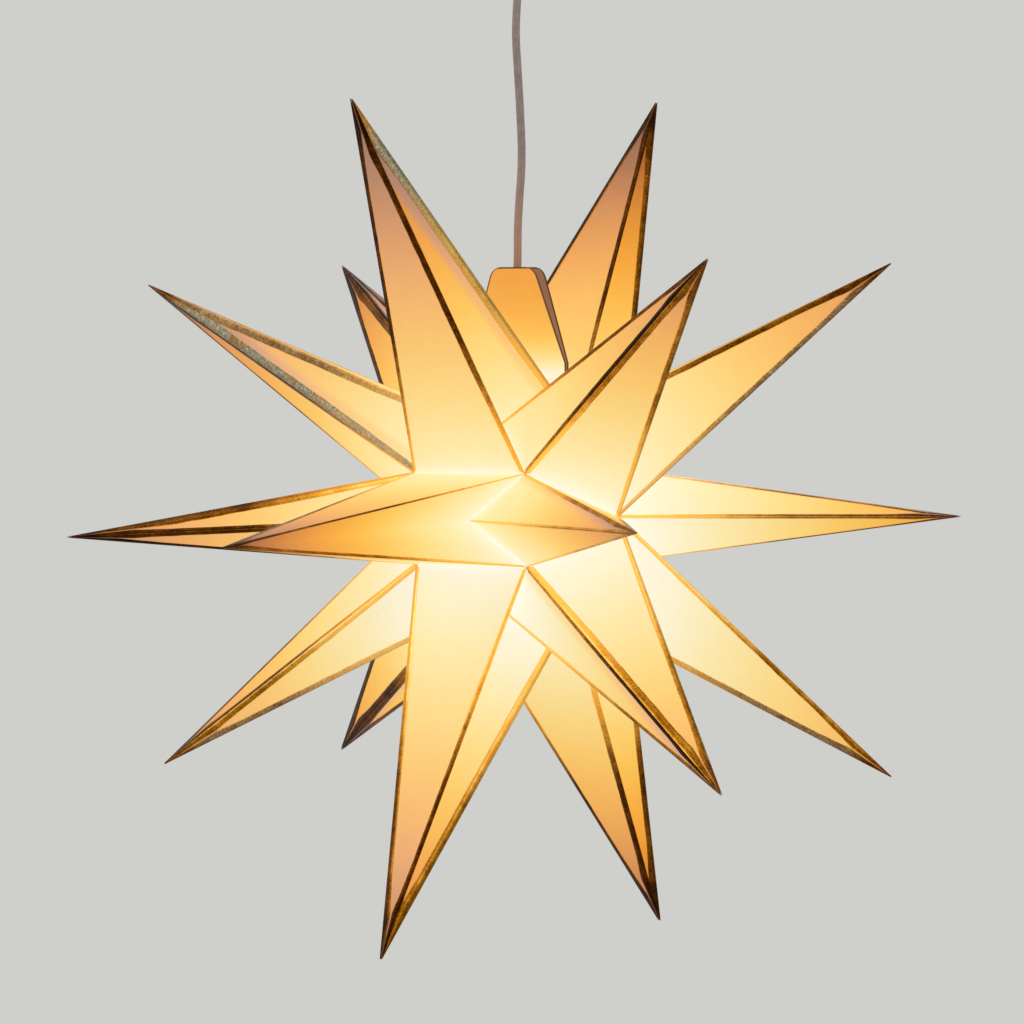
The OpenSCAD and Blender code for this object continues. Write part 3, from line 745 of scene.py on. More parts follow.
# The strips on the two faces of a ridge, by ray, side and whether it is the ray's upper ridge. Their
# tones hold painted light and shade
STRIPS = {
    ("middle", 0, "right", False): ("thin brown", "narrow gold"),
    ("side", 0, "right", False): ("thin gold", "thin bright"),
    ("middle", 0, "right", True): ("narrow brown", "thin brown"),
    ("side", 0, "right", True): ("narrow gold", "narrow gold"),
    ("notch", 0, "right", True): ("thin gold", "thin bright"),
    ("side", 0, "left", False): ("narrow dark", "narrow black"),
    ("middle", 0, "left", True): ("narrow brown", "narrow brown"),
    ("side", 0, "left", True): ("medium brown", "broad brown"),
    ("notch", 0, "left", True): ("medium dark", "medium dark"),
    ("middle", 1, "right", False): ("wide dark", "medium bright"),
    ("side", 1, "right", False): ("medium gold", "medium black"),
    ("middle", 1, "right", True): ("medium dark", "wide fading"),
    ("notch", 1, "right", True): ("narrow brown", "narrow brown"),
    ("pole", 1, "right", True): ("medium gold", "narrow brown"),
    ("middle", 1, "left", False): ("narrow dark", "narrow brown"),
    ("side", 1, "left", False): ("wide dark", "wide silver"),
    ("notch", 1, "left", True): ("wide rosy", "medium gold"),
    ("pole", 1, "left", True): ("narrow brown", "narrow brown"),
    ("middle", 2, "right", False): ("medium dark", "medium gold"),
    ("side", 2, "right", False): ("medium brown", "medium gold"),
    ("middle", 2, "right", True): ("medium brown", "medium brown"),
    ("pole", 2, "right", True): ("medium rosy", "medium brown"),
    ("middle", 2, "left", False): ("narrow dark", "narrow brown"),
    ("side", 2, "left", False): ("wide brown", "medium black"),
    ("notch", 2, "left", True): ("broad dark", "medium brown"),
    ("pole", 2, "left", True): ("medium dark", "narrow brown"),
    ("side", 3, "right", False): ("narrow brown", "narrow brown"),
    ("side", 3, "right", True): ("thin brown", "narrow brown"),
    ("pole", 3, "right", True): ("medium brown", "medium gold"),
    ("middle", 4, "right", False): ("medium brown", "medium brown"),
    ("middle", 4, "right", True): ("wide dark", "medium gold"),
    ("side", 4, "right", True): ("medium rosy", "medium black"),
    ("pole", 4, "right", True): ("medium brown", "medium gold"),
    ("middle", 4, "left", True): ("narrow dark", "medium brown"),
    ("side", 4, "left", True): ("wide dark", "medium dark"),
    ("notch", 4, "left", True): ("medium brown", "medium brown"),
    ("pole", 4, "left", True): ("medium brown", "medium dark"),
    ("middle", 5, "right", False): ("medium brown", "wide gold"),
    ("middle", 5, "right", True): ("medium dark", "medium bright"),
    ("side", 5, "right", True): ("wide gold", "medium black"),
    ("notch", 5, "right", True): ("medium brown", "narrow gold"),
    ("pole", 5, "right", True): ("medium brown", "medium gold"),
    ("middle", 5, "left", True): ("medium brown", "medium brown"),
    ("side", 5, "left", True): ("wide dark", "medium gold"),
    ("notch", 5, "left", True): ("medium brown", "medium rosy"),
    ("pole", 5, "left", True): ("medium brown", "narrow brown"),
}


# What the ridges hold for the edging tree: vectors, and numbers for each of their two faces
RIDGE_VECTORS = ["side_a", "side_b", "rise", "lean"]
RIDGE_NUMBERS = [key + face for face in FACES
                 for key in ("width_", "tone_", "silver_", "silver_end_", "tip_slope_", "base_slope_")]
# Steepest that a strip's end is cut at the base of its ridge
STEEPEST = math.radians(88)
# Gap between two strips on one face, and how close points are to be made one
SEAM = 0.05 * MM
MERGE = 0.01 * MM


def strip_words(label, random):
    """What the two strips of a ridge are like. A ridge that is not listed gets any common pair."""
    picked = [f"{random.choice(['narrow', 'medium', 'wide'])} "
              f"{random.choice(['dark', 'brown', 'gold'])}" for face in FACES]
    return STRIPS.get(label, picked)


def ridge_lines():
    """Each ridge: tip, base, third corners of its two faces, whether each face shares its tip with
    another ridge, how the tip leans, and its label."""
    lines = []
    for k in range(ROWS):
        before = (k - 1) % ROWS
        for side in SIDES:
            other = "left" if side == "right" else "right"
            tip = star.tip[k]
            side_tip = star.side_tip[k, side]
            notch = star.notch[k, side]
            lean = tip_lean(ray_name("side", k, side))
            for upper, valley in ((False, before), (True, k)):
                lines.append((tip, star.valley[valley, side], star.valley[valley, other], notch,
                              (True, False), tip_lean(ray_name("middle", k)),
                              ("middle", k, side, upper)))
                lines.append((side_tip, star.valley[valley, side], star.pole[side], notch,
                              (True, True), lean, ("side", k, side, upper)))
            valleys = star.valley[before, side], star.valley[k, side]
            lines.append((side_tip, notch, *valleys, (True, True), lean, ("notch", k, side, True)))
            lines.append((side_tip, star.pole[side], *valleys, (True, True), lean,
                          ("pole", k, side, True)))
    return lines


def corner_angle(at, first, second):
    a = first - at
    b = second - at
    return math.acos(np.clip(a @ b / np.linalg.norm(a) / np.linalg.norm(b), -1, 1))


def ridge_mesh(gilt, random):
    """Ridges as loose edges, with the values that the edging tree reads."""
    points = []
    edges = []
    held = {key: [] for key in RIDGE_VECTORS + RIDGE_NUMBERS}
    for tip, base, third_a, third_b, shared_tip, lean, label in ridge_lines():
        start = tip[0]
        end = base[0]
        way = (end - start) / np.linalg.norm(end - start)
        normals = []
        sides = []
        slopes = []
        for third, halved in zip((third_a[0], third_b[0]), shared_tip):
            side = (third - start) - ((third - start) @ way) * way
            side = side / np.linalg.norm(side)
            normal = np.cross(way, side)
            if normal @ ((start + end + third) / 3 - star.centre) < 0:
                normal = -normal
            at_tip = corner_angle(start, end, third) / (2 if halved else 1)
            at_base = min(corner_angle(end, start, third), STEEPEST)
            normals.append(normal)
            sides.append(side)
            slopes.append((math.tan(at_tip), math.tan(at_base)))
        rise = (normals[0] + normals[1]) / (1 + normals[0] @ normals[1])
        values = {"side_a": sides[0], "side_b": sides[1], "rise": rise, "lean": lean}
        for face, words, slope in zip(FACES, strip_words(label, random), slopes):
            width, tone = words.split()
            values["width_" + face] = gilt.width * STRIP_WIDTH[width] * random.uniform(0.92, 1.08)
            values["tone_" + face], values["silver_" + face], silver_end = STRIP_TONE[tone]
            values["silver_end_" + face] = silver_end * MM
            values["tip_slope_" + face], values["base_slope_" + face] = slope
        edges.append((len(points), len(points) + 1))
        points.extend([start.tolist(), end.tolist()])
        for key, rows in held.items():
            rows.extend([values[key]] * 2)
    mesh = bpy.data.meshes.new("ridges")
    mesh.from_pydata(points, edges, [])
    for key, rows in held.items():
        kind, field = ("FLOAT_VECTOR", "vector") if key in RIDGE_VECTORS else ("FLOAT", "value")
        flat = np.array(rows, np.float32).ravel()
        mesh.attributes.new(key, kind, "POINT").data.foreach_set(field, flat)
    return mesh


def edging_tree(material):
    """Geometry nodes that lay a strip of foil over each ridge, down both of its faces."""
    tree = bpy.data.node_groups.new("Gilt edging", "GeometryNodeTree")
    tree.interface.new_socket("Geometry", in_out="INPUT", socket_type="NodeSocketGeometry")
    for name in ("Spacing", "Thickness", "Lift", "Raggedness", "Ragged Length", "Tip Swell", "Seed"):
        tree.interface.new_socket(name, in_out="INPUT", socket_type="NodeSocketFloat")
    tree.interface.new_socket("Geometry", in_out="OUTPUT", socket_type="NodeSocketGeometry")
    entry = add_node(tree, "NodeGroupInput").outputs

    held = {}
    for name in ["tip_away", "out_share", "half_a", "half_b", *RIDGE_NUMBERS, *RIDGE_VECTORS]:
        held[name] = add_node(tree, "GeometryNodeInputNamedAttribute", {"Name": name},
                              data_type="FLOAT_VECTOR" if name in RIDGE_VECTORS else "FLOAT")

    lines = add_node(tree, "GeometryNodeMeshToCurve", {"Mesh": entry["Geometry"]})
    lines = add_node(tree, "GeometryNodeResampleCurve", {"Curve": lines, "Length": entry["Spacing"]},
                     mode="LENGTH")
    from_tip = add_node(tree, "GeometryNodeSplineParameter").outputs["Length"]
    whole = add_node(tree, "GeometryNodeSplineLength")
    from_base = add_node(tree, "ShaderNodeMath", {0: whole, 1: from_tip}, operation="SUBTRACT")
    # The strip leans with the paper of its ray
    out_share = add_node(tree, "ShaderNodeMath", {0: from_base, 1: whole}, operation="DIVIDE")
    for name, value in (("tip_away", from_tip), ("out_share", out_share)):
        lines = add_node(tree, "GeometryNodeStoreNamedAttribute",
                         {"Geometry": lines, "Name": name, "Value": value},
                         data_type="FLOAT", domain="POINT")
    # Strips widen over the last 60 mm to the tip, where they wrap it whole, and taper at the body
    tip_share = add_node(tree, "ShaderNodeMapRange",
                         {"Value": from_tip, "From Min": 10 * MM, "From Max": 60 * MM, "To Min": 1,
                          "To Max": 0}, interpolation_type="SMOOTHSTEP")
    taper = add_node(tree, "ShaderNodeMapRange",
                     {"Value": from_base, "From Min": 0, "From Max": 70 * MM, "To Min": 0.7,
                      "To Max": 1})
    swollen = add_node(tree, "ShaderNodeMath", {0: tip_share, 1: entry["Tip Swell"], 2: 1.0},
                       operation="MULTIPLY_ADD")
    swell = add_node(tree, "ShaderNodeMath", {0: swollen, 1: taper}, operation="MULTIPLY")
    place = add_node(tree, "GeometryNodeInputPosition")
    ragged_scale = add_node(tree, "ShaderNodeMath", {0: 1.0, 1: entry["Ragged Length"]},
                            operation="DIVIDE")
    for face, seed_step in zip(FACES, (0.0, 7.0)):
        seed = add_node(tree, "ShaderNodeMath", {0: entry["Seed"], 1: seed_step}, operation="ADD")
        noise = add_node(tree, "ShaderNodeTexNoise",
                         {"Vector": place, "W": seed, "Scale": ragged_scale, "Detail": 3.0},
                         noise_dimensions="4D")
        swing = add_node(tree, "ShaderNodeMath", {0: noise, 1: 0.5}, operation="SUBTRACT")
        factor = add_node(tree, "ShaderNodeMath", {0: swing, 1: entry["Raggedness"], 2: 1.0},
                          operation="MULTIPLY_ADD")
        at_base = add_node(tree, "ShaderNodeMath", {0: from_base, 1: held["base_slope_" + face]},
                           operation="MULTIPLY")
        at_tip = from_tip
        for operation, value in (("MULTIPLY", held["tip_slope_" + face]), ("SUBTRACT", SEAM),
                                 ("MAXIMUM", 0.0)):
            at_tip = add_node(tree, "ShaderNodeMath", {0: at_tip, 1: value}, operation=operation)
        # The strip is cut where it meets its neighbours, at the tip and at the base
        half = held["width_" + face]
        for operation, value in (("MULTIPLY", factor), ("MULTIPLY", swell), ("MINIMUM", at_tip),
                                 ("MINIMUM", at_base)):
            half = add_node(tree, "ShaderNodeMath", {0: half, 1: value}, operation=operation)
        lines = add_node(tree, "GeometryNodeStoreNamedAttribute",
                         {"Geometry": lines, "Name": "half_" + face, "Value": half},
                         data_type="FLOAT", domain="POINT")
    lines = add_node(tree, "GeometryNodeCurveToMesh", {"Curve": lines})
    lifted = add_node(tree, "ShaderNodeVectorMath", {0: held["rise"], "Scale": entry["Lift"]},
                      operation="SCALE")
    leaning = add_node(tree, "ShaderNodeVectorMath", {0: held["lean"], "Scale": held["out_share"]},
                       operation="SCALE")
    offset = add_node(tree, "ShaderNodeVectorMath", {0: lifted, 1: leaning}, operation="ADD")
    lines = add_node(tree, "GeometryNodeSetPosition", {"Geometry": lines, "Offset": offset})
    strips = add_node(tree, "GeometryNodeJoinGeometry")
    for face in FACES:
        wall = add_node(tree, "GeometryNodeExtrudeMesh", {"Mesh": lines, "Offset Scale": 0.0},
                        mode="EDGES").outputs
        reach = add_node(tree, "ShaderNodeVectorMath",
                         {0: held["side_" + face], "Scale": held["half_" + face]},
                         operation="SCALE")
        strip = add_node(tree, "GeometryNodeSetPosition",
                         {"Geometry": wall["Mesh"], "Selection": wall["Top"], "Offset": reach})
        strip = add_node(tree, "GeometryNodeStoreNamedAttribute",
                         {"Geometry": strip, "Selection": wall["Top"], "Name": "across",
                          "Value": 1.0}, data_type="FLOAT", domain="POINT")
        share_out = add_node(tree, "ShaderNodeMath",
                             {0: held["tip_away"], 1: held["silver_end_" + face]},
                             operation="DIVIDE")
        silver_left = add_node(tree, "ShaderNodeMapRange",
                               {"Value": share_out, "From Min": 0.5, "From Max": 1,
                                "To Min": held["silver_" + face], "To Max": 0})
        for key, value in (("tone", held["tone_" + face]), ("silver", silver_left)):
            strip = add_node(tree, "GeometryNodeStoreNamedAttribute",
                             {"Geometry": strip, "Name": key, "Value": value},
                             data_type="FLOAT", domain="FACE")
        tree.links.new(strip.outputs[0], strips.inputs[0])
    sheet = add_node(tree, "GeometryNodeMergeByDistance", {"Geometry": strips, "Distance": MERGE})
    thick = add_node(tree, "GeometryNodeExtrudeMesh",
                     {"Mesh": sheet, "Offset": held["rise"], "Offset Scale": entry["Thickness"],
                      "Individual": False}, mode="FACES")
    shell = add_node(tree, "GeometryNodeJoinGeometry")
    for part in (sheet, thick):
        tree.links.new(part.outputs[0], shell.inputs[0])
    shell = add_node(tree, "GeometryNodeMergeByDistance", {"Geometry": shell, "Distance": MERGE})
    real = add_node(tree, "GeometryNodeRealizeInstances", {"Geometry": shell})
    painted = add_node(tree, "GeometryNodeSetMaterial", {"Geometry": real, "Material": material})
    add_node(tree, "NodeGroupOutput", {"Geometry": painted})
    return tree


def baked(source_mesh, tree, values, name):
    """The mesh that a tree makes of a source mesh."""
    source = bpy.data.objects.new("source", source_mesh)
    bpy.context.scene.collection.objects.link(source)
    modifier = source.modifiers.new("nodes", "NODES")
    modifier.node_group = tree
    for item in tree.interface.items_tree:
        if item.item_type == "SOCKET" and item.in_out == "INPUT" and item.name in values:
            modifier[item.identifier] = values[item.name]
    bpy.context.view_layer.update()
    graph = bpy.context.evaluated_depsgraph_get()
    made = bpy.data.meshes.new_from_object(source.evaluated_get(graph), depsgraph=graph)
    made.name = name
    source.modifiers.clear()
    bpy.data.objects.remove(source)
    return made


# Settings that a user would change

class PaperSettings(bpy.types.PropertyGroup):
    """Settings of the paper sheets"""
    warp: FloatProperty(name="Warp", description="Most that a face bows in or out",
                        default=0.9 * MM, min=0, subtype="DISTANCE", unit="LENGTH")
    grid_steps: IntProperty(name="Grid steps", description="Divisions of each side of a face",
                            default=28, min=4, max=60)


class FlapSettings(bpy.types.PropertyGroup):
    """Settings of the two flap panels"""
    half_base: FloatProperty(name="Half base", description="Half width of a panel at its fold",
                             default=35.5 * MM, unit="LENGTH")
    shoulder_h: FloatProperty(name="Shoulder", description="Height at which a panel starts to narrow",
                              default=34 * MM, unit="LENGTH")
    half_top: FloatProperty(name="Half top", description="Half length of the straight top edge",
                            default=8.9 * MM, unit="LENGTH")
    corner_r: FloatProperty(name="Corner radius", description="Radius of the top corners",
                            default=9 * MM, unit="LENGTH")
    bow: FloatProperty(name="Bow", description="How far a panel bows round the cord",
                       default=3.2 * MM, unit="LENGTH")
    lean_front: FloatProperty(name="Front lean", description="Lean of the front panel",
                              default=math.radians(2), subtype="ANGLE", unit="ROTATION")
    lean_back: FloatProperty(name="Back lean", description="Lean of the back panel",
                             default=math.radians(0.5), subtype="ANGLE", unit="ROTATION")


class GiltSettings(bpy.types.PropertyGroup):
    """Settings of the gilt edging"""
    width: FloatProperty(name="Width", description="Length of one millimetre of the strips' widths",
                         default=1 * MM, unit="LENGTH")
    thickness: FloatProperty(name="Thickness", description="Thickness of the foil",
                             default=0.12 * MM, unit="LENGTH")
    lift: FloatProperty(name="Lift", description="Gap between the foil and the flat of the paper",
                        default=0.15 * MM, unit="LENGTH")
    spacing: FloatProperty(name="Spacing", description="Distance between the foil's points",
                           default=2.5 * MM, unit="LENGTH")
    raggedness: FloatProperty(name="Raggedness", description="How much the width wanders",
                              default=0.25, subtype="FACTOR")
    ragged_length: FloatProperty(name="Ragged length", description="Length over which it wanders",
                                 default=9 * MM, unit="LENGTH")
    tip_swell: FloatProperty(name="Tip swell", description="How much wider a strip is near its tip",
                             default=0.5, subtype="FACTOR")
    seed: IntProperty(name="Seed", description="Seed of the wandering edge", default=4)


class StageSettings(bpy.types.PropertyGroup):
    """Settings of the floor, the backdrop and the light"""
    backdrop: FloatVectorProperty(name="Backdrop", description="Colour of floor and backdrop",
                                  subtype="COLOR", size=3, default=linear("#CFCFCC"))
    ambient: FloatProperty(name="Ambient", description="Strength of the light from all round",
                           default=0.6, min=0)
    floor_drop: FloatProperty(name="Floor drop", description="Depth of the floor below the star",
                              default=0.3, unit="LENGTH")


def random_for(name):
    """The same random numbers for a piece at each run."""
    return np.random.default_rng(sum((i + 1) * ord(c) for i, c in enumerate(name)))


class PAPERSTAR_OT_sheets(bpy.types.Operator):
    """Builds the spine, pole and wing sheets as folded paper"""
    bl_idname = "paperstar.sheets"
    bl_label = "Folded sheets"

    def execute(self, context):
        settings = context.scene.paper_star_paper
        paper = translucent_paper()
        for k in CLOSED:
            name = f"spine_sheet_{k + 1}"
            make_sheet(name, spine_panels(k), paper, settings, random_for(name))
            for side in SIDES:
                name = pole_name(side, k)
                make_sheet(name, pole_panels(k, side, [k, k + 1]), paper, settings, random_for(name))
        for side in SIDES:
            for k in range(ROWS):
                name = wing_name(side, k)
                make_sheet(name, wing_panels(k, side), paper, settings, random_for(name))
            for end, ray in (("front", OPENING), ("back", OPENING + 1)):
                name = f"end_pole_sheet_{end}_{side}"
                make_sheet(name, pole_panels(OPENING, side, [ray]), paper, settings, random_for(name))
        return {"FINISHED"}


class PAPERSTAR_OT_flaps(bpy.types.Operator):
    """Builds the two end sheets with their rounded flap panels"""
    bl_idname = "paperstar.flaps"
    bl_label = "Flap panels"

    def execute(self, context):
        settings = context.scene.paper_star_paper
        flap = context.scene.paper_star_flap
        paper = bpy.data.materials["Translucent ivory paper"]
        for end, ray, way, lean in (("front", OPENING, -1, flap.lean_front),
                                    ("back", OPENING + 1, 1, flap.lean_back)):
            name = f"end_sheet_{end}"
            make_end_sheet(name, ray, way, lean, paper, settings, flap, random_for(name))
        return {"FINISHED"}


class PAPERSTAR_OT_edging(bpy.types.Operator):
    """Lays gilt edging over all the ridges"""
    bl_idname = "paperstar.edging"
    bl_label = "Gilt edging"

    def execute(self, context):
        gilt = context.scene.paper_star_gilt
        foil = gold_foil()
        values = {"Spacing": gilt.spacing, "Thickness": gilt.thickness, "Lift": gilt.lift,
                  "Raggedness": gilt.raggedness, "Ragged Length": gilt.ragged_length,
                  "Tip Swell": gilt.tip_swell, "Seed": float(gilt.seed)}
        name = "gilt_edging"
        mesh = baked(ridge_mesh(gilt, random_for(name)), edging_tree(foil), values, name)
        work = bmesh.new()
        work.from_mesh(mesh)
        bmesh.ops.dissolve_degenerate(work, edges=work.edges, dist=TOUCH / 20)
        bmesh.ops.recalc_face_normals(work, faces=work.faces)
        work.to_mesh(mesh)
        work.free()
        finish_piece(name, mesh, foil, [])
        return {"FINISHED"}


# Route of the cord's middle line, in metres, from the contact block up to the terminal block
CORD_ROUTE = [
    (0, 0, -0.34095),
    (0, 0, -0.330),
    (0, 0, -0.314),
    (-0.0003, -0.0002, -0.300),
    (-0.0008, -0.0006, -0.285),
    (-0.0008, -0.0005, -0.268),
    (-0.0006, -0.0004, -0.250),
    (-0.0009, -0.0006, -0.236),
    (-0.0006, -0.0004, -0.222),
    (-0.0005, -0.0003, -0.205),
    (0.0002, 0.0001, -0.189),
    (0.0013, 0.0010, -0.165),
    (0.0006, 0.0004, -0.135),
    (-0.0006, -0.0004, -0.110),
    (-0.0014, -0.0010, -0.090),
    (-0.0010, -0.0007, -0.074),
    (0, 0, -0.0565),
    (0, 0, -0.0135),
]
CORD_D = 4.8 * MM


class PAPERSTAR_OT_cord(bpy.types.Operator):
    """Hangs the cord between the lamp holder and the ceiling"""
    bl_idname = "paperstar.cord"
    bl_label = "Cord"

    def execute(self, context):
        curve = bpy.data.curves.new("mains_cord", "CURVE")
        curve.dimensions = "3D"
        curve.bevel_depth = CORD_D / 2
        curve.bevel_resolution = 6
        curve.resolution_u = 8
        curve.use_fill_caps = True
        spline = curve.splines.new("BEZIER")
        spline.bezier_points.add(len(CORD_ROUTE) - 1)
        for point, place in zip(spline.bezier_points, CORD_ROUTE):
            point.co = place
            point.handle_left_type = "AUTO"
            point.handle_right_type = "AUTO"
        piece = bpy.data.objects.new("mains_cord", curve)
        context.scene.collection.objects.link(piece)
        curve.materials.append(pvc_cord_material())
        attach(piece, BODY)
        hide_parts("cord")
        return {"FINISHED"}


class PAPERSTAR_OT_hardware(bpy.types.Operator):
    """Gives the lamp and the ceiling fitting their finishes"""
    bl_idname = "paperstar.hardware"
    bl_label = "Lamp and ceiling fitting"

    def execute(self, context):
        # Zinc plating: cool grey, with a soft spangle
        zinc = speckled("Zinc-plated steel", "#A9ADB0", "#C9CCCE", 6 * MM, 0.34, metallic=1.0)
        # Moulded plastic: even off-white, with a mild gloss
        plastic = speckled("Moulded white plastic", "#EBE8E2", "#EFEDE8", 4 * MM, 0.33)
        # Unglazed pressed ceramic: cream, fine-grained and matt
        steatite = speckled("Pressed steatite", "#DED6C4", "#EDE7DA", 1 * MM, 0.6)
        # Brass sheet: warm yellow metal, bright from the press
        brass = speckled("Stamped brass", "#B88A3C", "#D6AE5E", 3 * MM, 0.28, metallic=1.0)
        # Milky glass, lit from inside: glossy, pale and glowing by itself
        opal = speckled("Opal glass", "#FFF3D2", "#FFF8E4", 8 * MM, 0.2, bump_depth=0.0, glow=0.7)
        # Clear plastic with the metal inside it: reads as glossy pale grey
        clear = speckled("Clear moulded plastic", "#DADAD4", "#E8E8E4", 2 * MM, 0.2)
        finish = {
            "hanger": zinc, "hanger_nut": zinc, "ceiling_strap": zinc, "cup_screws": zinc,
            "cup_nut": zinc, "holder_nipple": plastic, "holder_cap": plastic,
            "holder_sleeve": plastic, "ceiling_cup": plastic, "cup_grip": plastic,
            "contact_block": steatite, "screw_shell": brass, "bulb": opal, "terminal_block": clear,
        }
        for node, material in finish.items():
            mesh = frame["nodes"][node].data
            mesh.materials.clear()
            mesh.materials.append(material)
            mesh.shade_smooth()
            mesh.set_sharp_from_angle(angle=HARDWARE_SHARP)
        return {"FINISHED"}


# Camera and light, as the photograph's view asks

CAMERA_AZIMUTH = math.radians(35.65)
CAMERA_ELEVATION = math.radians(1.6)
CAMERA_DISTANCE = 3.733
CAMERA_LENS = 220.5
CAMERA_OFFSET = (-4.08 * MM, 1.38 * MM)
LAMP_SIZE = 1.6
FLOOR_R = 12.0
FLOOR_SIDES = 96


def direction(azimuth, elevation):
    """The way from the star to a camera or lamp, in radians from the front and from the level."""
    return Vector((math.sin(azimuth) * math.cos(elevation),
                   -math.cos(azimuth) * math.cos(elevation),
                   math.sin(elevation)))


def soft_lamp(name, azimuth, elevation, distance, share):
    """A square soft box, placed in degrees. share is what it adds to a white surface facing it."""
    lamp = bpy.data.lights.new(name, "AREA")
    lamp.shape = "SQUARE"
    lamp.size = LAMP_SIZE
    lamp.energy = share * (math.pi * distance) ** 2
    piece = bpy.data.objects.new(name, lamp)
    bpy.context.scene.collection.objects.link(piece)
    back = direction(math.radians(azimuth), math.radians(elevation))
    piece.location = Vector(star.centre) + back * distance
    piece.rotation_mode = "QUATERNION"
    piece.rotation_quaternion = (-back).to_track_quat("-Z", "Y")


def seen_by_camera(tree):
    """1 for a ray from the camera, also by way of a gloss or through glass, and 0 for other rays."""
    path = add_node(tree, "ShaderNodeLightPath").outputs
    seen = path["Is Camera Ray"]
    for kind in ("Is Glossy Ray", "Is Transmission Ray"):
        seen = add_node(tree, "ShaderNodeMath", {0: seen, 1: path[kind]}, operation="MAXIMUM")
    return seen


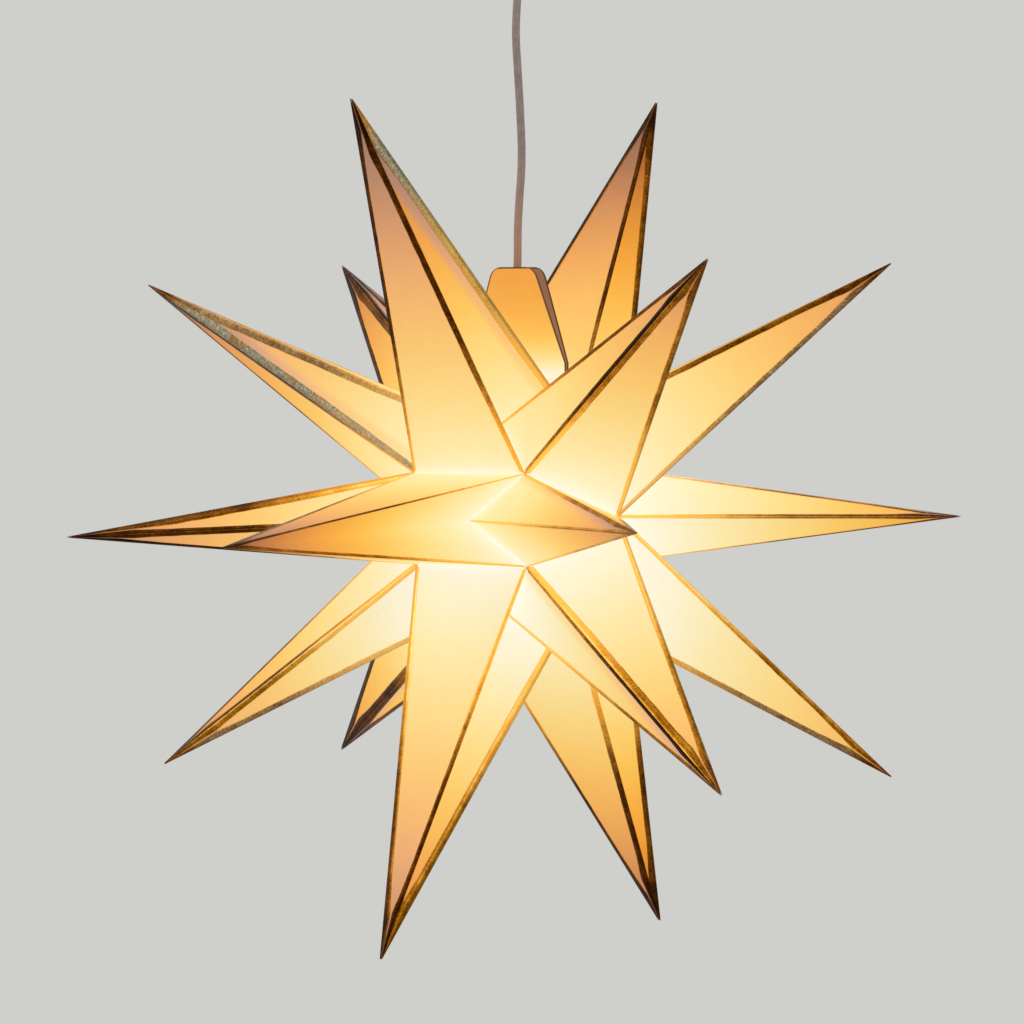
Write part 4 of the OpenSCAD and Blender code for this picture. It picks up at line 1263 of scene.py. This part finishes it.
class PAPERSTAR_OT_stage(bpy.types.Operator):
    """Sets the camera, the soft studio light, the pale floor and the backdrop"""
    bl_idname = "paperstar.stage"
    bl_label = "Stage"

    def execute(self, context):
        stage = context.scene.paper_star_stage
        context.scene.view_settings.view_transform = "Standard"
        back = direction(CAMERA_AZIMUTH, CAMERA_ELEVATION)
        right = Vector((math.cos(CAMERA_AZIMUTH), math.sin(CAMERA_AZIMUTH), 0))
        up = back.cross(right)
        camera = bpy.data.cameras.new("camera")
        camera.lens = CAMERA_LENS
        camera.sensor_width = 36
        camera.clip_end = 100
        holder = bpy.data.objects.new("camera", camera)
        context.scene.collection.objects.link(holder)
        holder.location = (Vector(star.centre) + back * CAMERA_DISTANCE
                           + right * CAMERA_OFFSET[0] + up * CAMERA_OFFSET[1])
        holder.rotation_mode = "QUATERNION"
        holder.rotation_quaternion = (-back).to_track_quat("-Z", "Y")
        context.scene.camera = holder

        soft_lamp("soft_front_left", -35, 30, distance=3.0, share=0.22)
        soft_lamp("soft_front_right", 80, 20, distance=3.0, share=0.16)
        soft_lamp("soft_back", 190, 30, distance=3.0, share=0.2)
        soft_lamp("soft_top", 0, 85, distance=2.6, share=0.16)

        world = bpy.data.worlds.new("studio")
        context.scene.world = world
        world.use_nodes = True
        tree = world.node_tree
        tree.nodes.clear()
        ambient = add_node(tree, "ShaderNodeBackground",
                           {"Color": (1, 1, 1, 1), "Strength": stage.ambient})
        backdrop = add_node(tree, "ShaderNodeBackground",
                            {"Color": (*stage.backdrop, 1), "Strength": 1.0})
        mixed = add_node(tree, "ShaderNodeMixShader",
                         {0: seen_by_camera(tree), 1: ambient, 2: backdrop})
        add_node(tree, "ShaderNodeOutputWorld", {"Surface": mixed})

        floor_z = cad_box[0].z - stage.floor_drop
        turns = [2 * math.pi * i / FLOOR_SIDES for i in range(FLOOR_SIDES)]
        ring = [(FLOOR_R * math.cos(turn), FLOOR_R * math.sin(turn), floor_z) for turn in turns]
        mesh = bpy.data.meshes.new("floor")
        mesh.from_pydata(ring, [], [tuple(range(FLOOR_SIDES))])
        floor = bpy.data.objects.new("floor", mesh)
        context.scene.collection.objects.link(floor)
        mesh.materials.append(self.floor_material(stage))
        return {"FINISHED"}

    def floor_material(self, stage):
        """Matt pale floor that turns into the backdrop's own colour further out."""
        material, tree = new_material("Pale floor")
        place = add_node(tree, "ShaderNodeTexCoord").outputs["Object"]
        flat = add_node(tree, "ShaderNodeVectorMath", {0: place, 1: (1, 1, 0)}, operation="MULTIPLY")
        out = add_node(tree, "ShaderNodeVectorMath", {0: flat}, operation="LENGTH")
        far = add_node(tree, "ShaderNodeMapRange",
                       {"Value": out, "From Min": 0.7, "From Max": 2.2},
                       interpolation_type="SMOOTHSTEP")
        fade = add_node(tree, "ShaderNodeMath", {0: far, 1: seen_by_camera(tree)},
                        operation="MULTIPLY")
        matt = add_node(tree, "ShaderNodeBsdfDiffuse", {"Color": (*stage.backdrop, 1)})
        plain = add_node(tree, "ShaderNodeEmission", {"Color": (*stage.backdrop, 1), "Strength": 1.0})
        mixed = add_node(tree, "ShaderNodeMixShader",
                         {0: fade, 1: matt, 2: plain})
        add_node(tree, "ShaderNodeOutputMaterial", {"Surface": mixed})
        return material


class PAPERSTAR_PT_panel(bpy.types.Panel):
    """Lists the steps that build the star"""
    bl_idname = "PAPERSTAR_PT_panel"
    bl_label = "Paper star"
    bl_space_type = "VIEW_3D"
    bl_region_type = "UI"
    bl_category = "Paper star"

    def draw(self, context):
        for operator in OPERATORS:
            self.layout.operator(operator.bl_idname)
        for group in SETTINGS:
            box = self.layout.box()
            held = getattr(context.scene, group)
            for name in held.__annotations__:
                box.prop(held, name)


SETTINGS = {
    "paper_star_paper": PaperSettings,
    "paper_star_flap": FlapSettings,
    "paper_star_gilt": GiltSettings,
    "paper_star_stage": StageSettings,
}
OPERATORS = [
    PAPERSTAR_OT_stage,
    PAPERSTAR_OT_cord,
    PAPERSTAR_OT_sheets,
    PAPERSTAR_OT_flaps,
    PAPERSTAR_OT_edging,
    PAPERSTAR_OT_hardware,
]


def register():
    for kind in [*SETTINGS.values(), *OPERATORS, PAPERSTAR_PT_panel]:
        bpy.utils.register_class(kind)
    for name, kind in SETTINGS.items():
        setattr(bpy.types.Scene, name, PointerProperty(type=kind))


def unregister():
    for name in SETTINGS:
        delattr(bpy.types.Scene, name)
    for kind in [PAPERSTAR_PT_panel, *reversed(OPERATORS), *SETTINGS.values()]:
        bpy.utils.unregister_class(kind)


def main():
    register()
    bpy.ops.paperstar.stage()
    bpy.ops.paperstar.cord()
    bpy.ops.paperstar.sheets()
    bpy.ops.paperstar.flaps()
    bpy.ops.paperstar.edging()
    bpy.ops.paperstar.hardware()


if __name__ == "__main__":
    main()
